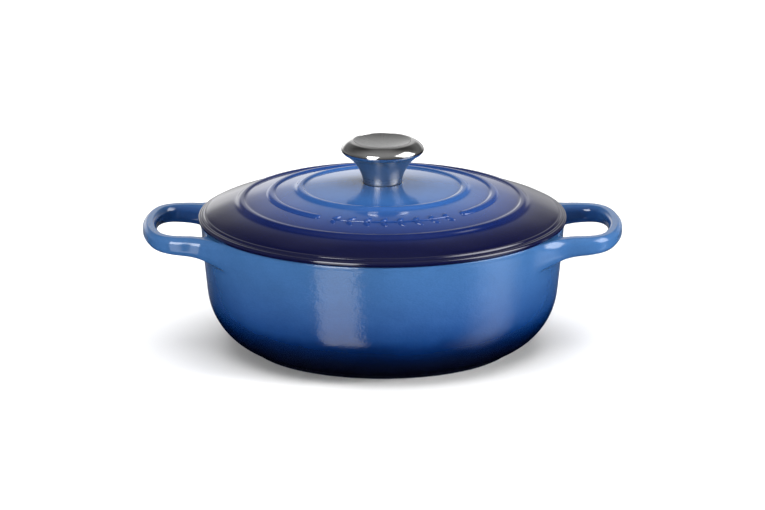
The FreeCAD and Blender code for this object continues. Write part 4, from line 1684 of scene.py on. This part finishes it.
@dataclass(frozen=True)
class Studio:
    """A pale floor, soft lights, and a long lens that looks slightly down."""

    elevation: float = 15.3
    view_width: float = 517.6 * MM
    lens: float = 500.0  # millimetres, as a camera's are
    sensor: float = 36.0
    aim_height: float = 62.2 * MM
    floor_size: float = 40.0
    floor_hole: float = 84.0 * MM
    floor_tone: Colour = (0.93, 0.93, 0.93)
    shade_share: float = 0.42  # the contact shade's radius as a share of the object's depth
    room_tone: Colour = (0.05, 0.052, 0.06)
    glow_below: float = 14.0  # how much brighter the room is from below than from above

    # the room's brightness in gloss at each elevation in degrees, from straight down to straight up
    SWEEP = ((-90, 0.0), (-20, 0.0), (-8, 0.5), (0, 1.35), (8, 1.3), (13, 0.25), (18, 0.05),
             (30, 0.0), (90, 0.0))
    COLUMN = ((-90, 0.0), (-5, 0.0), (8, 0.1), (14, 0.6), (24, 0.85), (34, 0.6), (41, 0.36),
              (47, 0.28), (53, 0.12), (90, 0.14))
    FRONT = ((-90, 0.0), (-30, 0.02), (-8, 0.10), (12, 0.16), (45, 0.26), (70, 0.34), (90, 0.30))
    # where across the room each part fades, and how bright it stays past that
    COLUMN_EDGE = (0.12, 0.27, 1.0, 0.2)
    SWEEP_EDGE = (0.35, 0.6, 1.0, 0.2)
    SWEEP_LEFT = (-0.02, 0.09, 1.0, 0.5)
    BACK = (-0.1, 0.55)

    CARDS = (
        Card("left_softbox", -29.5, 25.0, 27.0, 42.0, 11.0, 0.03),
        Card("left_softbox_foot", -29.5, -23.5, 25.5, 53.0, 2.5, 0.03),
        Card("right_softbox", 80.0, 32.0, 50.0, 60.0, 8.0, 0.24),
        Card("right_softbox_foot", 80.0, -27.0, 44.0, 60.0, 1.6, 0.42, (0.85, 0.95, 1.1)),
    )
    SUNS = (
        Sun("overhead", 0.0, 88.0, 3.2, 64.0),
        Sun("side_fill", -80.0, 35.0, 0.6, 60.0),
        Sun("side_key", 78.0, 11.0, 5.4, 24.0),
        Sun("front_fill", -30.0, 7.0, 3.3, 30.0),
    )

    def floor(self) -> None:
        """The pale floor; it doesn't show in gloss, and can be seen through from below."""
        Bench.clear()
        bpy.ops.mesh.primitive_circle_add(vertices=64, radius=self.floor_hole, location=ORIGIN)
        floor = bpy.context.object
        floor.name = "floor"
        # the opening under the pot lets the light from below reach its base
        Bench.edit(floor)
        bpy.ops.transform.translate(value=(0, 0, -0.05 * MM))
        bpy.ops.mesh.extrude_region_move(TRANSFORM_OT_translate={"value": ORIGIN})
        grown = self.floor_size / self.floor_hole / 2
        bpy.ops.transform.resize(value=(grown, grown, 1), center_override=ORIGIN)
        bpy.ops.object.mode_set(mode="OBJECT")
        material, board = blank_material("pale_floor")
        paint = board.add("BsdfDiffuse", None, Color=(*self.floor_tone, 1.0))
        clear = board.add("BsdfTransparent")
        below = board.add("NewGeometry").outputs["Backfacing"]
        side = board.math("MULTIPLY", below, board.add("LightPath").outputs["Is Camera Ray"])
        mix = board.add("MixShader", None, in0=side, in1=paint.outputs[0], in2=clear.outputs[0])
        board.add("OutputMaterial", None, Surface=mix.outputs[0])
        floor.data.materials.append(material)
        floor.visible_glossy = False
        floor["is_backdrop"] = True

    def contact_shade(self, depth: float) -> None:
        """A dark disc under the foot that only gloss sees, as the floor there is in shadow.

        Args:
            depth: how deep the object is from front to back.
        """
        Bench.clear()
        bpy.ops.mesh.primitive_circle_add(vertices=64, radius=depth * self.shade_share, fill_type="NGON",
                                          location=(0, 0, -0.1 * MM))
        disc = bpy.context.object
        disc.name = "contact_shade"
        material, board = blank_material("contact_shade")
        dark = board.add("BsdfDiffuse", None, Color=(0.0, 0.0, 0.0, 1.0))
        board.add("OutputMaterial", None, Surface=dark.outputs[0])
        disc.data.materials.append(material)
        only_for_gloss(disc)

    def gloss_light(self, board: Board, way: bpy.types.Node) -> bpy.types.NodeSocket:
        """How bright the room is in gloss: a bright sweep behind and a dim front.

        Args:
            board: the world's board.
            way: the direction's separate X, Y and Z.

        Returns:
            The brightness.
        """
        height = board.math("MULTIPLY", board.math("ARCSINE", way.outputs["Z"]), 2.0 / math.pi)
        climb = board.span(height, -1.0, 1.0)
        across = way.outputs["X"]
        aside = board.math("ABSOLUTE", across)
        left = board.span(across, *self.SWEEP_LEFT)
        sweep = board.math("MULTIPLY", board.levels(climb, self.SWEEP), left)
        sweep = board.math("MULTIPLY", sweep, board.span(aside, *self.SWEEP_EDGE))
        column = board.levels(climb, self.COLUMN)
        column = board.math("MULTIPLY", column, board.span(aside, *self.COLUMN_EDGE))
        share = board.span(way.outputs["Y"], *self.BACK)
        back = board.math("MULTIPLY", board.math("ADD", sweep, column), share)
        before = board.levels(climb, self.FRONT)
        front = board.math("MULTIPLY", before, board.math("SUBTRACT", 1.0, share))
        return board.math("ADD", back, front)

    def room(self) -> None:
        """The room: pale to the camera, shaped light to gloss, and dim to everything else."""
        world = bpy.data.worlds.new("room")
        world.use_nodes = True
        board = Board(world.node_tree)
        way = board.add("SeparateXYZ", None, Vector=board.add("TexCoord").outputs["Generated"])
        white = (1.0, 1.0, 1.0, 1.0)
        sheen = board.add("Background", None, Color=white, Strength=self.gloss_light(board, way))
        pale = board.add("Background", None, Color=white, Strength=1.0)
        below = board.math("MULTIPLY", board.math("LESS_THAN", way.outputs["Z"], 0.0), self.glow_below)
        soft = board.add("Background", None, Color=(*self.room_tone, 1.0),
                         Strength=board.math("ADD", 1.0, below))
        path = board.add("LightPath")
        unseen = board.add("MixShader", None, in0=path.outputs["Is Glossy Ray"],
                           in1=soft.outputs[0], in2=sheen.outputs[0])
        mix = board.add("MixShader", None, in0=path.outputs["Is Camera Ray"],
                        in1=unseen.outputs[0], in2=pale.outputs[0])
        board.add("OutputWorld", None, Surface=mix.outputs[0])
        bpy.context.scene.world = world

    def camera(self) -> None:
        """A long lens, looking slightly down at the front."""
        data = bpy.data.cameras.new("camera")
        data.lens = self.lens
        data.sensor_width = self.sensor
        data.clip_end = 100.0
        camera = bpy.data.objects.new("camera", data)
        bpy.context.scene.collection.objects.link(camera)
        distance = self.view_width * self.lens / self.sensor
        back = way_to(0.0, self.elevation)
        camera.location = Vector((0.0, 0.0, self.aim_height)) + back * distance
        face_back(camera, back)
        bpy.context.scene.camera = camera

    def build(self) -> None:
        """Set up the floor, the room, the lights and the camera."""
        low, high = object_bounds()
        self.floor()
        self.contact_shade(high.y - low.y)
        self.room()
        for card in self.CARDS:
            card.build((low + high) / 2)
        for sun in self.SUNS:
            sun.build()
        self.camera()
        bpy.context.scene.view_settings.view_transform = "Standard"


# --- the whole ------------------------------------------------------------------------------


def report(pieces: list[bpy.types.Object]) -> None:
    """Log each piece with its number of faces."""
    for piece in pieces:
        log.info("%s: %d faces", piece.name, len(piece.data.polygons))


def main() -> None:
    """Build the casserole and its studio, and log each piece's number of faces."""
    logging.basicConfig(level=logging.INFO, format="%(message)s")
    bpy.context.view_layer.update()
    finishes = Finishes()
    report([CastPot().build(finishes)])
    report([CastLid().build(finishes)])
    report(SteelKnob().build(finishes))
    report(Fittings().build(finishes))
    Studio().build()


if __name__ == "__main__":
    main()
